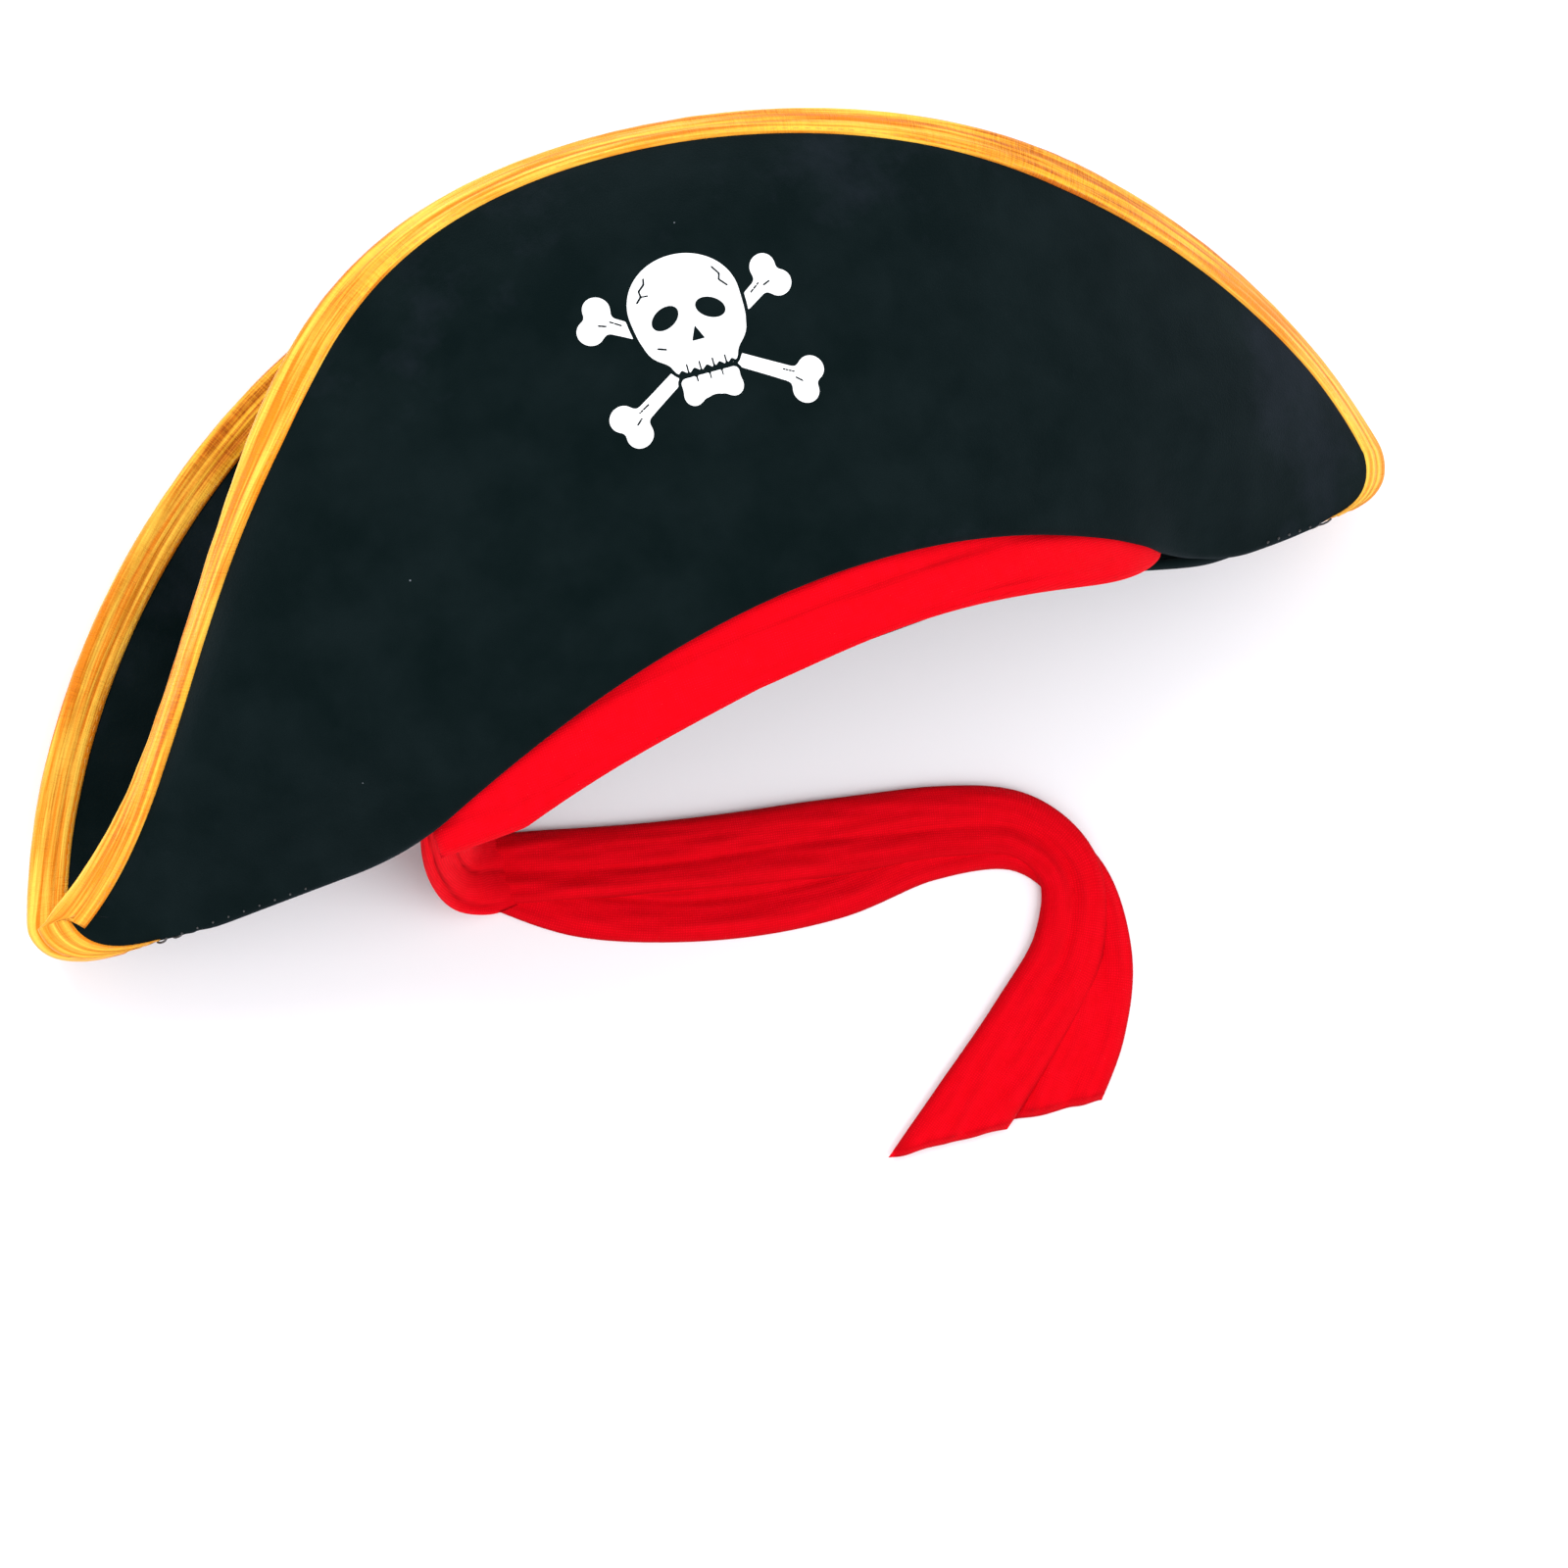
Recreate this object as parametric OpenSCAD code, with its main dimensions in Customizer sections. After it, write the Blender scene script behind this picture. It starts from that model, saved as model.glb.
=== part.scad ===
// Pirate hat: two bound flaps turned up round a soft crown, with a printed skull, a sash and two sash tails.
// It lies on its back flap: +Z is up from the table, +Y is the way the crown points, +X is the wearer's left.

/* [Crown] */
// Width of the crown outside, from side to side
crown_w = 256; // [210:1:300]
// Depth of the crown outside, from front to back
crown_d = 124; // [100:1:150]
// Height of the crown from its mouth to its top
crown_h = 98; // [78:1:120]

/* [Flaps] */
// Width of the hat from tip to tip
hat_w = 448; // [370:1:540]
// Height of the front flap above the tips
front_flap_h = 160; // [138:1:190]
// Height of the back flap above the tips
back_flap_h = 157; // [136:1:184]
// Height of the tips above the table
tip_z = 26; // [18:1:34]
// Depth of each tip below its widest point
tip_drop = 16; // [12:1:20]
// Rise of the flaps' lower edge over the forehead
arch_rise = 35; // [26:1:40]
// Way that the front flap's edge sags towards the back flap
flap_sag = 26; // [0:1:36]

/* [Cloth] */
// Thickness of the foam in the flaps and crown
foam_t = 2.8; // [1.5:0.1:4]
// Thickness of the velvet on each side of the foam
velvet_t = 0.8; // [0.5:0.1:1.2]
// Thickness of the crown's lining
lining_t = 0.6; // [0.4:0.1:1]
// Width of the sweatband in the crown's mouth
sweatband_w = 28; // [18:1:40]

/* [Binding] */
// Width of the gold binding on each face
binding_w = 9; // [6:0.5:12]
// Thickness of the binding tape
binding_t = 0.6; // [0.4:0.1:1]

/* [Sash] */
// Width of the sash round the crown
sash_w = 34; // [28:1:40]
// Width of each tail
tail_w = 20; // [14:1:22]
// Thickness of the sash cloth
sash_t = 1.6; // [0.8:0.1:2]

/* [Print] */
// Width of the crossed bones from end to end
print_w = 74; // [56:1:90]
// Thickness of the print
print_t = 0.3; // [0.2:0.05:0.5]
// Turn of the print, clockwise
print_turn = 4; // [-8:1:8]

/* [Hidden] */

FRONT = 1;
BACK = -1;
LEFT = -1;
RIGHT = 1;
ply = 0.05;                                      // between glued layers
foam_in = velvet_t + ply;                        // depth of the foam's outer side
facing_in = foam_in + foam_t + ply;              // depth of the facing's outer side
flap_t = facing_in + velvet_t;                   // whole flap
half_w = hat_w / 2;
crown_a = crown_w / 2;
crown_b = crown_d / 2;
section_power = 1.5;                             // 1 is an ellipse, 2 is nearly a lens
back_gap = 1.2;                                  // between the crown and the back flap
sash_room = 0.8;                                 // clear on each side of the sash
front_gap = sash_t + 2 * sash_room;              // between the crown and the front flap
binding_out = ply + binding_t;                   // rise of the binding over the velvet
crown_z = binding_out + flap_t + back_gap + crown_b; // middle of the crown above the table
mouth_y = 0;                                     // the crown's mouth
crown_top_y = mouth_y + crown_h;
tip_y = 2;                                       // the widest points of the hat
arch_half = crown_a + 9;                         // half the width of the raised edge
arch_end = 1.111;                                // its eased ends reach this far, in half widths
arch_front_x = 11;                               // middle of the front flap's raised edge
edge_power = 0.73;                               // fullness of the flaps' upper edge
tip_power = 24;                                  // bluntness of the tips
keel_gap = 2.2;                                  // between the flaps where they are sewn together
roll_w = 48;                                     // height over which a flap rolls open
over_crown = 1;                                  // rise of the front flap above its lower edge
sag_from_y = tip_y + 0.67 * front_flap_h;        // the front flap sags above this
front_lean = 20;                                 // way that the front flap's top leans to the wearer's right
front_pull = 30;                                 // way that the front flap's edge is drawn in beside that
front_droop = 13;                                // way that the drawn-in edge turns down
droop_w = 18;                                    // width over which it turns down
flat_share = 0.42;                               // share of the back flap's half width that lies flat
flap_lines = 56;                                 // lines across each flap
flap_rows = [1, 0.8, 0.6, 0.43, 0.29, 0.17, 0.08, 0]; // places along each line, from the binding down
corner_turns = [0, 20, 38, 55, 72];              // stations round each tip's lower corner
crown_steps = 72;

// Half depth of a rounded section, half width a and half depth b, at x
function section(a, b, x) = abs(x) >= a ? 0 : b * pow(1 - pow(x / a, 2), section_power / 2);
// The same section's outline at angle t
function section_at(a, b, t) = [a * cos(t), b * sign(sin(t)) * pow(abs(sin(t)), section_power)];

// Height of the line where the two flaps meet beside the crown
function keel_z(x) = crown_z - (crown_z - tip_z) * pow(max(0, (abs(x) - crown_a) / (half_w - crown_a)), 1.2);
function edge_share(x) = 1 - pow(min(1, abs(x) / half_w), 2);
function flap_h(side) = side == FRONT ? front_flap_h : back_flap_h;
function crown_gap(side) = side == FRONT ? front_gap : back_gap;

// Raised middle of a flap's lower edge, as a share of the rise: a bow with eased ends
function arch_x(side) = side == FRONT ? arch_front_x : 0;
function bow(u) = abs(u) < 0.9 ? 1 - u * u : 4.26 * pow(max(0, arch_end - abs(u)), 2);
// Lower edge of a flap at x
function lower_y(side, x) =
    tip_y - tip_drop * sqrt(1 - pow(min(1, abs(x) / half_w), tip_power))
    + arch_rise * bow((x - arch_x(side)) / arch_half);

// Half opening between the flaps' outer faces at x: round the crown's section, then eased to the sewn edge
function half_opening(a, b, x) =
    let (
        shut = flap_t + keel_gap / 2,
        join = 0.93 * a,
        height = section(a, b, join),
        slope = height * section_power * join / (a * a - join * join),
        ease = slope * slope / (4 * (height - shut))
    )
    abs(x) < join ? section(a, b, x) : shut + ease * pow(max(0, join + slope / (2 * ease) - abs(x)), 2);
// Outer face of a flap: along its lower edge, and where it has opened out
function edge_z(side, x) =
    let (clear = crown_gap(side) + flap_t)
    keel_z(x) + side * half_opening(crown_a + clear, crown_b + clear, x);
function front_z(x, y) =
    let (
        tip = tip_z + flap_t + keel_gap / 2,
        middle = edge_z(FRONT, 0) + over_crown,
        sag = flap_sag * pow(max(0, y - sag_from_y) / (tip_y + front_flap_h - sag_from_y), 2)
    )
    tip + (middle - tip - sag) * edge_share(x);
function back_z(x) =
    let (lifted = max(0, abs(x) / half_w - flat_share) / (1 - flat_share))
    binding_out + (tip_z - binding_out - flap_t - keel_gap / 2) * pow(lifted, 2);

// The front flap's edge at the wearer's right: how far it is drawn in, where it is, and how it turns down
function drawn_in(rise) = let (q = pow(rise, 0.75)) 4 * front_pull * q * (1 - q);
function right_edge_x(rise) =
    let (c = pow(rise, 0.5 / edge_power))
    drawn_in(rise) - half_w * sqrt(1 - c * c) - front_lean * pow(c, 3);
function droop(side, x, y) =
    let (rise = min(1, max(0, (y - tip_y) / front_flap_h)))
    side == BACK || rise > 0.8 ? 0
    : front_droop * pow(sin(180 * rise / 0.8) * max(0, 1 - (x - right_edge_x(rise)) / droop_w), 2);

// Outer face of a flap at (x, y)
function face_z(side, x, y) =
    let (
        turned = sin(90 * min(1, max(0, (y - lower_y(side, x)) / roll_w))),
        open = side == FRONT ? front_z(x, y) : back_z(x),
        edge = edge_z(side, x)
    )
    edge + (open - edge) * turned - droop(side, x, y);

// Point at depth t inside the outer face of a flap
function flap_point(side, p, t) =
    let (
        e = 1,
        slope_x = (face_z(side, p.x + e, p.y) - face_z(side, p.x - e, p.y)) / (2 * e),
        slope_y = (face_z(side, p.x, p.y + e) - face_z(side, p.x, p.y - e)) / (2 * e),
        out = side * [-slope_x, -slope_y, 1] / norm([slope_x, slope_y, 1])
    )
    [p.x, p.y, face_z(side, p.x, p.y)] - out * t;

// A bound edge's stations, from one lower corner over the top to the other: [outer point, way inward]
function upper_point(side, a) =
    let (
        rise = pow(cos(a), 2 * edge_power),
        lean = side == FRONT ? front_lean * pow(cos(a), 3) : 0,
        pull = side == FRONT && a < 0 ? drawn_in(rise) : 0
    )
    [half_w * sin(a) - lean + pull, tip_y + flap_h(side) * rise];
function corner_point(end, a) = [end * half_w * pow(cos(a), 2 / tip_power), tip_y - tip_drop * sin(a)];
function inward(side, a) = let (d = upper_point(side, a + 0.5) - upper_point(side, a - 0.5)) [d.y, -d.x] / norm(d);
function edge_stations(side) = concat(
    [for (i = [len(corner_turns) - 1:-1:0]) [corner_point(LEFT, corner_turns[i]), [1, 0]]],
    [for (i = [1:flap_lines - 1])
        let (a = 88 * (2 * i / flap_lines - 1))
        [upper_point(side, a), inward(side, a)]],
    [for (a = corner_turns) [corner_point(RIGHT, a), [-1, 0]]]
);

// One line across a flap: from the edge, under the binding, down to the lower edge
function flap_line(side, station, share) =
    let (
        under = station[0] + station[1] * binding_w,
        foot_x = (abs(corner_point(RIGHT, corner_turns[len(corner_turns) - 1]).x) - binding_w - 3) * share,
        foot = [foot_x, lower_y(side, foot_x)]
    )
    concat([station[0]], [for (row = flap_rows) foot + (under - foot) * row]);

// Closed skin over equal rings of points. Four-sided patches are cut across one way, and from point
// turned[0] to turned[1] of the rings the other way, so that faces that lie on each other are cut alike
module skin(rings, flip, turned) {
    n = len(rings[0]);
    last = (len(rings) - 1) * n;
    half = n / 2;
    walls = [for (r = [0:len(rings) - 2], k = [0:n - 1], upper = [0, 1])
        let (a = r * n + k, b = r * n + (k + 1) % n)
        k >= turned[0] && k <= turned[1]
        ? (upper == 1 ? [a, b + n, b] : [a, a + n, b + n])
        : (upper == 1 ? [b, a + n, b + n] : [a, a + n, b])];
    caps = [for (j = [0:half - 2], end = [0, 1])
        let (s = end * last, q = [s + j, s + j + 1, s + n - 2 - j, s + n - 1 - j])
        end == 0 ? q : [q[3], q[2], q[1], q[0]]];
    strips = [for (q = caps, upper = [0, 1]) upper == 1 ? [q[0], q[2], q[3]] : [q[0], q[1], q[2]]];
    faces = concat(walls, strips);
    polyhedron([for (ring = rings) each ring], flip ? [for (f = faces) [f[2], f[1], f[0]]] : faces);
}

// One layer of a flap, from depth t0 to depth t1
module flap_layer(side, t0, t1) {
    stations = edge_stations(side);
    count = len(stations);
    skin([for (i = [0:count - 1])
        let (line = flap_line(side, stations[i], sin(90 * (2 * i / (count - 1) - 1))), m = len(line))
        concat([for (j = [0:m - 1]) flap_point(side, line[j], t0)],
            [for (j = [m - 1:-1:0]) flap_point(side, line[j], t1)])],
        side == BACK,
        [len(flap_rows) + 1, 2 * len(flap_rows) + 1]);
}

// Binding folded over a flap's edge
module flap_binding(side) {
    outer = binding_out;
    skin([for (s = edge_stations(side))
        let (
            rim = s[0],
            hem = s[0] + s[1] * binding_w,
            away = flap_point(side, rim, 0) - flap_point(side, hem, 0),
            step = away / norm(away)
        )
        [
            flap_point(side, hem, -outer), flap_point(side, rim, -outer) + step * outer,
            flap_point(side, rim, flap_t + outer) + step * outer, flap_point(side, hem, flap_t + outer),
            flap_point(side, hem, flap_t + ply), flap_point(side, rim, flap_t + ply) + step * ply,
            flap_point(side, rim, -ply) + step * ply, flap_point(side, hem, -ply)
        ]],
        side == FRONT,
        [3, 5]);
}

// Section of the crown, moved out by o
module crown_section(o) {
    polygon([for (i = [0:crown_steps - 1]) section_at(crown_a + o, crown_b + o, 360 * i / crown_steps)]);
}

// Stand a drawing up as a layer across the crown's axis, from y0 to y1
module across_crown(y0, y1) {
    translate([0, y1, crown_z])
    rotate([90, 0, 0])
    linear_extrude(y1 - y0)
    children();
}

// Tube round the crown between two offsets
module crown_tube(o0, o1, y0, y1) {
    across_crown(y0, y1)
    difference() {
        crown_section(o1);
        crown_section(o0);
    }
}

top_foam_y = crown_top_y - velvet_t - ply;
side_end_y = top_foam_y - foam_t - ply;
lining_out = -facing_in;
lining_in = lining_out - lining_t;

module front_flap_velvet() { color("#0f191c") flap_layer(FRONT, 0, velvet_t); }
module front_flap_foam() { color("#e8e6df") flap_layer(FRONT, foam_in, foam_in + foam_t); }
module front_flap_facing() { color("#0f191c") flap_layer(FRONT, facing_in, flap_t); }
module front_flap_binding() { color("#ffaa32") flap_binding(FRONT); }
module back_flap_velvet() { color("#0f191c") flap_layer(BACK, 0, velvet_t); }
module back_flap_foam() { color("#e8e6df") flap_layer(BACK, foam_in, foam_in + foam_t); }
module back_flap_facing() { color("#0f191c") flap_layer(BACK, facing_in, flap_t); }
module back_flap_binding() { color("#ffaa32") flap_binding(BACK); }
module crown_side_velvet() { color("#0f191c") crown_tube(-velvet_t, 0, mouth_y, side_end_y); }
module crown_side_foam() { color("#e8e6df") crown_tube(-foam_in - foam_t, -foam_in, mouth_y, side_end_y); }
module crown_side_lining() { color("#202020") crown_tube(lining_in, lining_out, mouth_y, side_end_y); }
module crown_top_velvet() { color("#0f191c") across_crown(top_foam_y + ply, crown_top_y) crown_section(0); }
module crown_top_foam() { color("#e8e6df") across_crown(side_end_y + ply, top_foam_y) crown_section(0); }
module crown_top_lining() {
    color("#202020") across_crown(side_end_y - lining_t, side_end_y) crown_section(lining_in - ply);
}

// Sweatband inside the mouth
sweat_t = 0.9;
module sweatband() {
    color("#1c1c1e") crown_tube(lining_in - ply - sweat_t, lining_in - ply, mouth_y, mouth_y + sweatband_w);
}

// Blank label hanging inside the back of the crown, sewn under the lining's edge
label_w = 26;
label_h = 34;
label_t = 0.4;
module care_label() {
    floor_z = crown_z - section(crown_a + lining_in, crown_b + lining_in, label_w / 2) + 0.4;
    color("white")
    translate([-label_w / 2, mouth_y + sweatband_w + 2, floor_z])
    cube([label_w, label_h, label_t]);
}

// Skull and crossed bones lie on the front flap, so they are cut from a layer just over it
print_x = -5;                                    // middle of the print
print_y = tip_y + 0.585 * front_flap_h;
skull_r = 0.235 * print_w;                       // radius of the cranium
bone_len = 0.98 * print_w;
knob_r = 0.052 * print_w;                        // radius of each knob
shaft_w = 0.062 * print_w;                       // width of each shaft
bone_angle = 30.5;
bone_drop = 4;                                   // way that the bones' crossing is below the print's middle
head_place = [-1, 4];                            // the head's place on the print
print_lift = 0.02;                               // clear of the velvet

// Round outline with n flat sides
module spot(r, n = 32) {
    polygon([for (i = [0:n - 1]) r * [cos(360 * i / n), sin(360 * i / n)]]);
}

module both_sides(x, y) {
    for (side = [LEFT, RIGHT]) translate([side * x, y]) children();
}

// Outline of the head, grown by extra
module head_outline(extra) {
    translate([0, 0.3 * skull_r]) spot(skull_r + extra, 40);
    translate([-0.62 * skull_r - extra, -1.1 * skull_r]) square([1.24 * skull_r + 2 * extra, 1.2 * skull_r]);
    both_sides(0.38 * skull_r, -1.1 * skull_r) spot(0.24 * skull_r + extra, 20);
}

module skull_outline() {
    difference() {
        head_outline(0);
        both_sides(0.42 * skull_r, 0.12 * skull_r) spot(0.26 * skull_r, 20);
        translate([0, -0.34 * skull_r]) rotate(90) spot(0.15 * skull_r, 3);
        translate([-0.5 * skull_r, -0.76 * skull_r]) square([skull_r, 0.07 * skull_r]);
    }
}

module bone_outline() {
    square([bone_len - 4 * knob_r, shaft_w], center = true);
    for (end = [LEFT, RIGHT], side = [LEFT, RIGHT])
        translate([end * (bone_len / 2 - 1.6 * knob_r), side * 0.8 * knob_r])
        spot(knob_r, 20);
}

// The layer is bent round the crown only, and leans with the flap
print_half = 0.56 * print_w;
print_slope = (face_z(FRONT, print_x, print_y + 24) - face_z(FRONT, print_x, print_y - 24)) / 48;
function print_z(x) =
    print_lift + max([for (y = [-24:4:24]) face_z(FRONT, print_x + x, print_y + y) - print_slope * y]);
module on_front_flap() {
    steps = 12;
    places = [for (i = [0:steps]) print_half * (2 * i / steps - 1)];
    intersection() {
        translate([print_x, print_y, print_z(0)])
        rotate([atan(print_slope) + 90, 0, 0])
        translate([0, 0, -print_half])
        linear_extrude(2 * print_half)
        polygon(concat([for (x = places) [x, print_z(x) - print_z(0)]],
            [for (x = places) [-x, print_z(-x) - print_z(0) + print_t]]));
        translate([print_x, print_y, 0])
        rotate([0, 0, -print_turn])
        linear_extrude(3 * crown_d)
        children();
    }
}

module skull_print() { color("white") on_front_flap() translate(head_place) skull_outline(); }
module crossbones_print() {
    color("white")
    on_front_flap()
    difference() {
        translate([0, -bone_drop]) for (side = [LEFT, RIGHT]) rotate(side * bone_angle) bone_outline();
        translate(head_place) head_outline(0.8);
    }
}

// Sash round the front of the crown's mouth, from side to side
sash_y = mouth_y - 6;
sash_ends = [176, 6];                            // angles round the section
module sash_band() {
    steps = 48;
    function at(o, i) = section_at(crown_a + o, crown_b + o, sash_ends[1] + (sash_ends[0] - sash_ends[1]) * i / steps);
    color("#f5102a")
    across_crown(sash_y, sash_y + sash_w)
    polygon(concat([for (i = [0:steps]) at(sash_room, i)],
        [for (i = [steps:-1:0]) at(sash_room + sash_t, i)]));
}

// Sash cloth from the band's left end down to the table, over the tails' round heads
pivot = [40 - crown_a, mouth_y - 24];            // the tails turn about this point
tail_gap = 0.3;                                  // between the tails, and above them
upper_tail_z = sash_t + tail_gap;
foot_z = upper_tail_z + sash_t + tail_gap;
turn_w = 26;
turn_x = 28 - crown_a;                           // where the sash leaves the band
turn_route = [                                   // middle of the cloth's underside, and the way across it
    [[turn_x, sash_y - 0.3, crown_z + 20], [0.72, 0, 0.69]],
    [[turn_x - 1, mouth_y - 14, crown_z + 18], [0.72, 0, 0.69]],
    [[turn_x - 7, mouth_y - 22, crown_z], [0.55, -0.45, 0.7]],
    [[turn_x - 8, mouth_y - 28, crown_z - 22], [0.2, -0.95, 0.25]],
    [[turn_x - 6, mouth_y - 31, crown_z - 42], [0, -1, 0]],
    [[turn_x + 1, mouth_y - 30, foot_z + 6], [0, -1, 0]],
    [[turn_x + 11, mouth_y - 28, foot_z + 0.7], [0, -1, 0]],
    [[turn_x + 28, mouth_y - 27, foot_z + 0.1], [0, -1, 0]]
];
function blend(list, u) =
    let (
        last = len(list) - 1,
        i = min(last - 1, floor(u)),
        f = u - i,
        a = list[max(0, i - 1)], b = list[i], c = list[i + 1], d = list[min(last, i + 2)]
    )
    b + 0.5 * f * ((c - a) + f * ((2 * a - 5 * b + 4 * c - d) + f * (3 * (b - c) + d - a)));

module sash_turn() {
    places = [for (r = turn_route) r[0]];
    ways = [for (r = turn_route) r[1]];
    fine = 4;
    last = fine * (len(turn_route) - 1);
    color("#f5102a")
    skin([for (i = [0:last])
        let (
            u = i / fine,
            p = blend(places, u),
            ahead = blend(places, min(u + 0.01, len(places) - 1)) - blend(places, max(u - 0.01, 0)),
            w = blend(ways, u),
            across = (w - ahead * (w * ahead) / (ahead * ahead)),
            side = across / norm(across) * turn_w / 2,
            thick = cross(ahead, side) / norm(cross(ahead, side)) * sash_t
        )
        [p - side, p + side, p + side - thick, p - side - thick]],
        true,
        [0, 3]);
}

// Tails: cloth strips that lie one over the other and spread apart on the way
function from_pivot(steps) = [for (step = steps) pivot + step];
upper_route = from_pivot([[0, 0], [27, -10], [69, -21], [109, -30], [143, -37], [167, -47], [177, -66], [168, -88],
    [148, -105], [120, -122]]);
lower_route = from_pivot([[0, 0], [27, -23], [62, -37], [102, -43], [136, -43], [165, -50], [180, -69], [178, -93],
    [166, -115], [149, -131]]);
tail_slant = 9;                                  // slant of each tail's cut end
module tail(route, z) {
    fine = 4;
    last = fine * (len(route) - 1);
    function edge(i, side) =
        let (
            u = i / fine,
            ahead = blend(route, min(u + 0.1, len(route) - 1)) - blend(route, max(u - 0.1, 0)),
            way = ahead / norm(ahead),
            slant = i == last ? (1 - side) * tail_slant : 0
        )
        blend(route, u) + side * tail_w / 2 * [-way.y, way.x] + slant * way;
    first = edge(0, -1) - pivot;
    turn = atan2(first.y, first.x);
    head = [for (k = [1:11]) pivot + tail_w / 2 * [cos(turn - 15 * k), sin(turn - 15 * k)]];
    color("#f5102a")
    translate([0, 0, z])
    linear_extrude(sash_t)
    polygon(concat([for (i = [0:last]) edge(i, 1)], [for (i = [last:-1:0]) edge(i, -1)], head));
}
module upper_tail() { tail(upper_route, upper_tail_z); }
module lower_tail() { tail(lower_route, 0); }

// Thread over both flaps' lower edges, beside each end of the crown
thread_r = 0.35;
stitch_pitch = 4.5;
last_stitch = half_w - 30;
function bow_end(end) = arch_half * arch_end + max(0, end * arch_front_x) + 1;
module tip_stitches() {
    color("#181818")
    for (end = [LEFT, RIGHT], away = [last_stitch:-stitch_pitch:bow_end(end)]) {
        x = end * away;
        reach = flap_t + keel_gap / 2 + 0.5;
        translate([x, min(lower_y(FRONT, x), lower_y(BACK, x)) - thread_r - 0.4, keel_z(x) - reach])
        cylinder(h = 2 * reach, r = thread_r, $fn = 16);
    }
}

// Thread across the sash's cut end
sash_stitch_count = 6;
module sash_stitches() {
    spot = section_at(crown_a + sash_room + sash_t, crown_b + sash_room + sash_t, sash_ends[1] + 4);
    color("#c00818")
    for (k = [0:sash_stitch_count - 1])
        translate([spot.x + 0.35, sash_y + 2 + 5 * k, crown_z + spot.y + 0.25])
        rotate([-90, 0, 0])
        cylinder(h = 3, r = 0.2, $fn = 16);
}

front_flap_velvet();
front_flap_foam();
front_flap_facing();
front_flap_binding();
back_flap_velvet();
back_flap_foam();
back_flap_facing();
back_flap_binding();
crown_side_velvet();
crown_side_foam();
crown_side_lining();
crown_top_velvet();
crown_top_foam();
crown_top_lining();
sweatband();
care_label();
skull_print();
crossbones_print();
sash_band();
sash_turn();
tip_stitches();
sash_stitches();
upper_tail();
lower_tail();
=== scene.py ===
"""Pirate hat lying on its back flap: velvet flaps, satin binding, printed skull, sash and two sash tails."""

import math

import bmesh
import bpy
from mathutils import Matrix, Vector, noise


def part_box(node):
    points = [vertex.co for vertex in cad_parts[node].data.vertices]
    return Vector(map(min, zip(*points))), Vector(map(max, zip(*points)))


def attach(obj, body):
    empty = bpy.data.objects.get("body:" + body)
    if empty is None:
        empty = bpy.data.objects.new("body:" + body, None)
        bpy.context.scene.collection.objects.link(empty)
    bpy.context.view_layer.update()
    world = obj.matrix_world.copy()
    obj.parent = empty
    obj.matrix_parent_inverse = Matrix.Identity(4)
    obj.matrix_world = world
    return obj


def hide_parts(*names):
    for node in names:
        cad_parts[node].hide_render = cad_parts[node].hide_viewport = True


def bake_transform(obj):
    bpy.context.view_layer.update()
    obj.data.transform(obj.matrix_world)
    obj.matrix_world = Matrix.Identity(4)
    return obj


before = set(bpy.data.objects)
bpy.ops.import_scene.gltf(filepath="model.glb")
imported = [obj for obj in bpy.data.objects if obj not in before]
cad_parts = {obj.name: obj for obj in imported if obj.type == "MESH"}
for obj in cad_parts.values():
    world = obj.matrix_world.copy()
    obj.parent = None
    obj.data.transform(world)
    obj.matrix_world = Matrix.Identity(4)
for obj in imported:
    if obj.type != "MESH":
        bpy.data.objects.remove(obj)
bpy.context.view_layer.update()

MM = 0.001
FRONT, BACK = 1, -1

# ---------------------------------------------------------------- sizes, from the frame


def node_size(name):
    """Lowest corner, highest corner and size of a node, as vectors."""
    low, high = (Vector(corner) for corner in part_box(name))
    return low, high, high - low


flap_low, flap_high, flap_size = node_size("front_flap_velvet")
back_high = node_size("back_flap_velvet")[1]
side_low, side_high, side_size = node_size("crown_side_velvet")
top_high = node_size("crown_top_velvet")[1]
inner_size = node_size("crown_side_lining")[2]
band_low, band_high = node_size("sash_band")[:2]
sweat_low, sweat_high = node_size("sweatband")[:2]
label_low, label_high, label_size = node_size("care_label")

HALF_W = flap_size.x / 2
CROWN_A = side_size.x / 2
CROWN_B = side_size.z / 2
CROWN_Z = (side_low.z + side_high.z) / 2
MOUTH_Y = side_low.y
INNER_A = inner_size.x / 2
INNER_B = inner_size.z / 2
TIP_DROP = 16 * MM
TIP_Y = flap_low.y + TIP_DROP
FLAP_H = {FRONT: flap_high.y - TIP_Y, BACK: back_high.y - TIP_Y}
FOAM_T = 2.8 * MM
VELVET_T = 0.8 * MM
FLAP_T = FOAM_T + 2 * VELVET_T + 0.1 * MM
LIFT = 0.65 * MM
TIP_Z = 26 * MM
KEEL_GAP = 2.2 * MM
BINDING_W = 9 * MM
SASH_ROOM = 0.8 * MM
SASH_T = 1.6 * MM
TABLE_GAP = 0.05 * MM
CROWN_GAP = {FRONT: SASH_T + 2 * SASH_ROOM, BACK: 1.2 * MM}
ARCH_RISE = 35 * MM
ARCH_HALF = CROWN_A + 9 * MM
ARCH_X = {FRONT: 11 * MM, BACK: 0}
ARCH_END = 1.111
EDGE_POWER = 0.73
FRONT_LEAN = 20 * MM
FRONT_PULL = 30 * MM
FRONT_DROOP = 13 * MM
DROOP_W = 18 * MM
TIP_POWER = 24
LENS_POWER = 1.5
ROLL_W = 48 * MM
OVER_CROWN = 1 * MM
SAG = 26 * MM
SAG_FROM_Y = TIP_Y + 0.67 * FLAP_H[FRONT]
FLAT_SHARE = 0.42
CORNER_TURN = 72
PIVOT = Vector((40 * MM - CROWN_A, MOUTH_Y - 24 * MM, 0))
PRINT_X = -5 * MM
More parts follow.
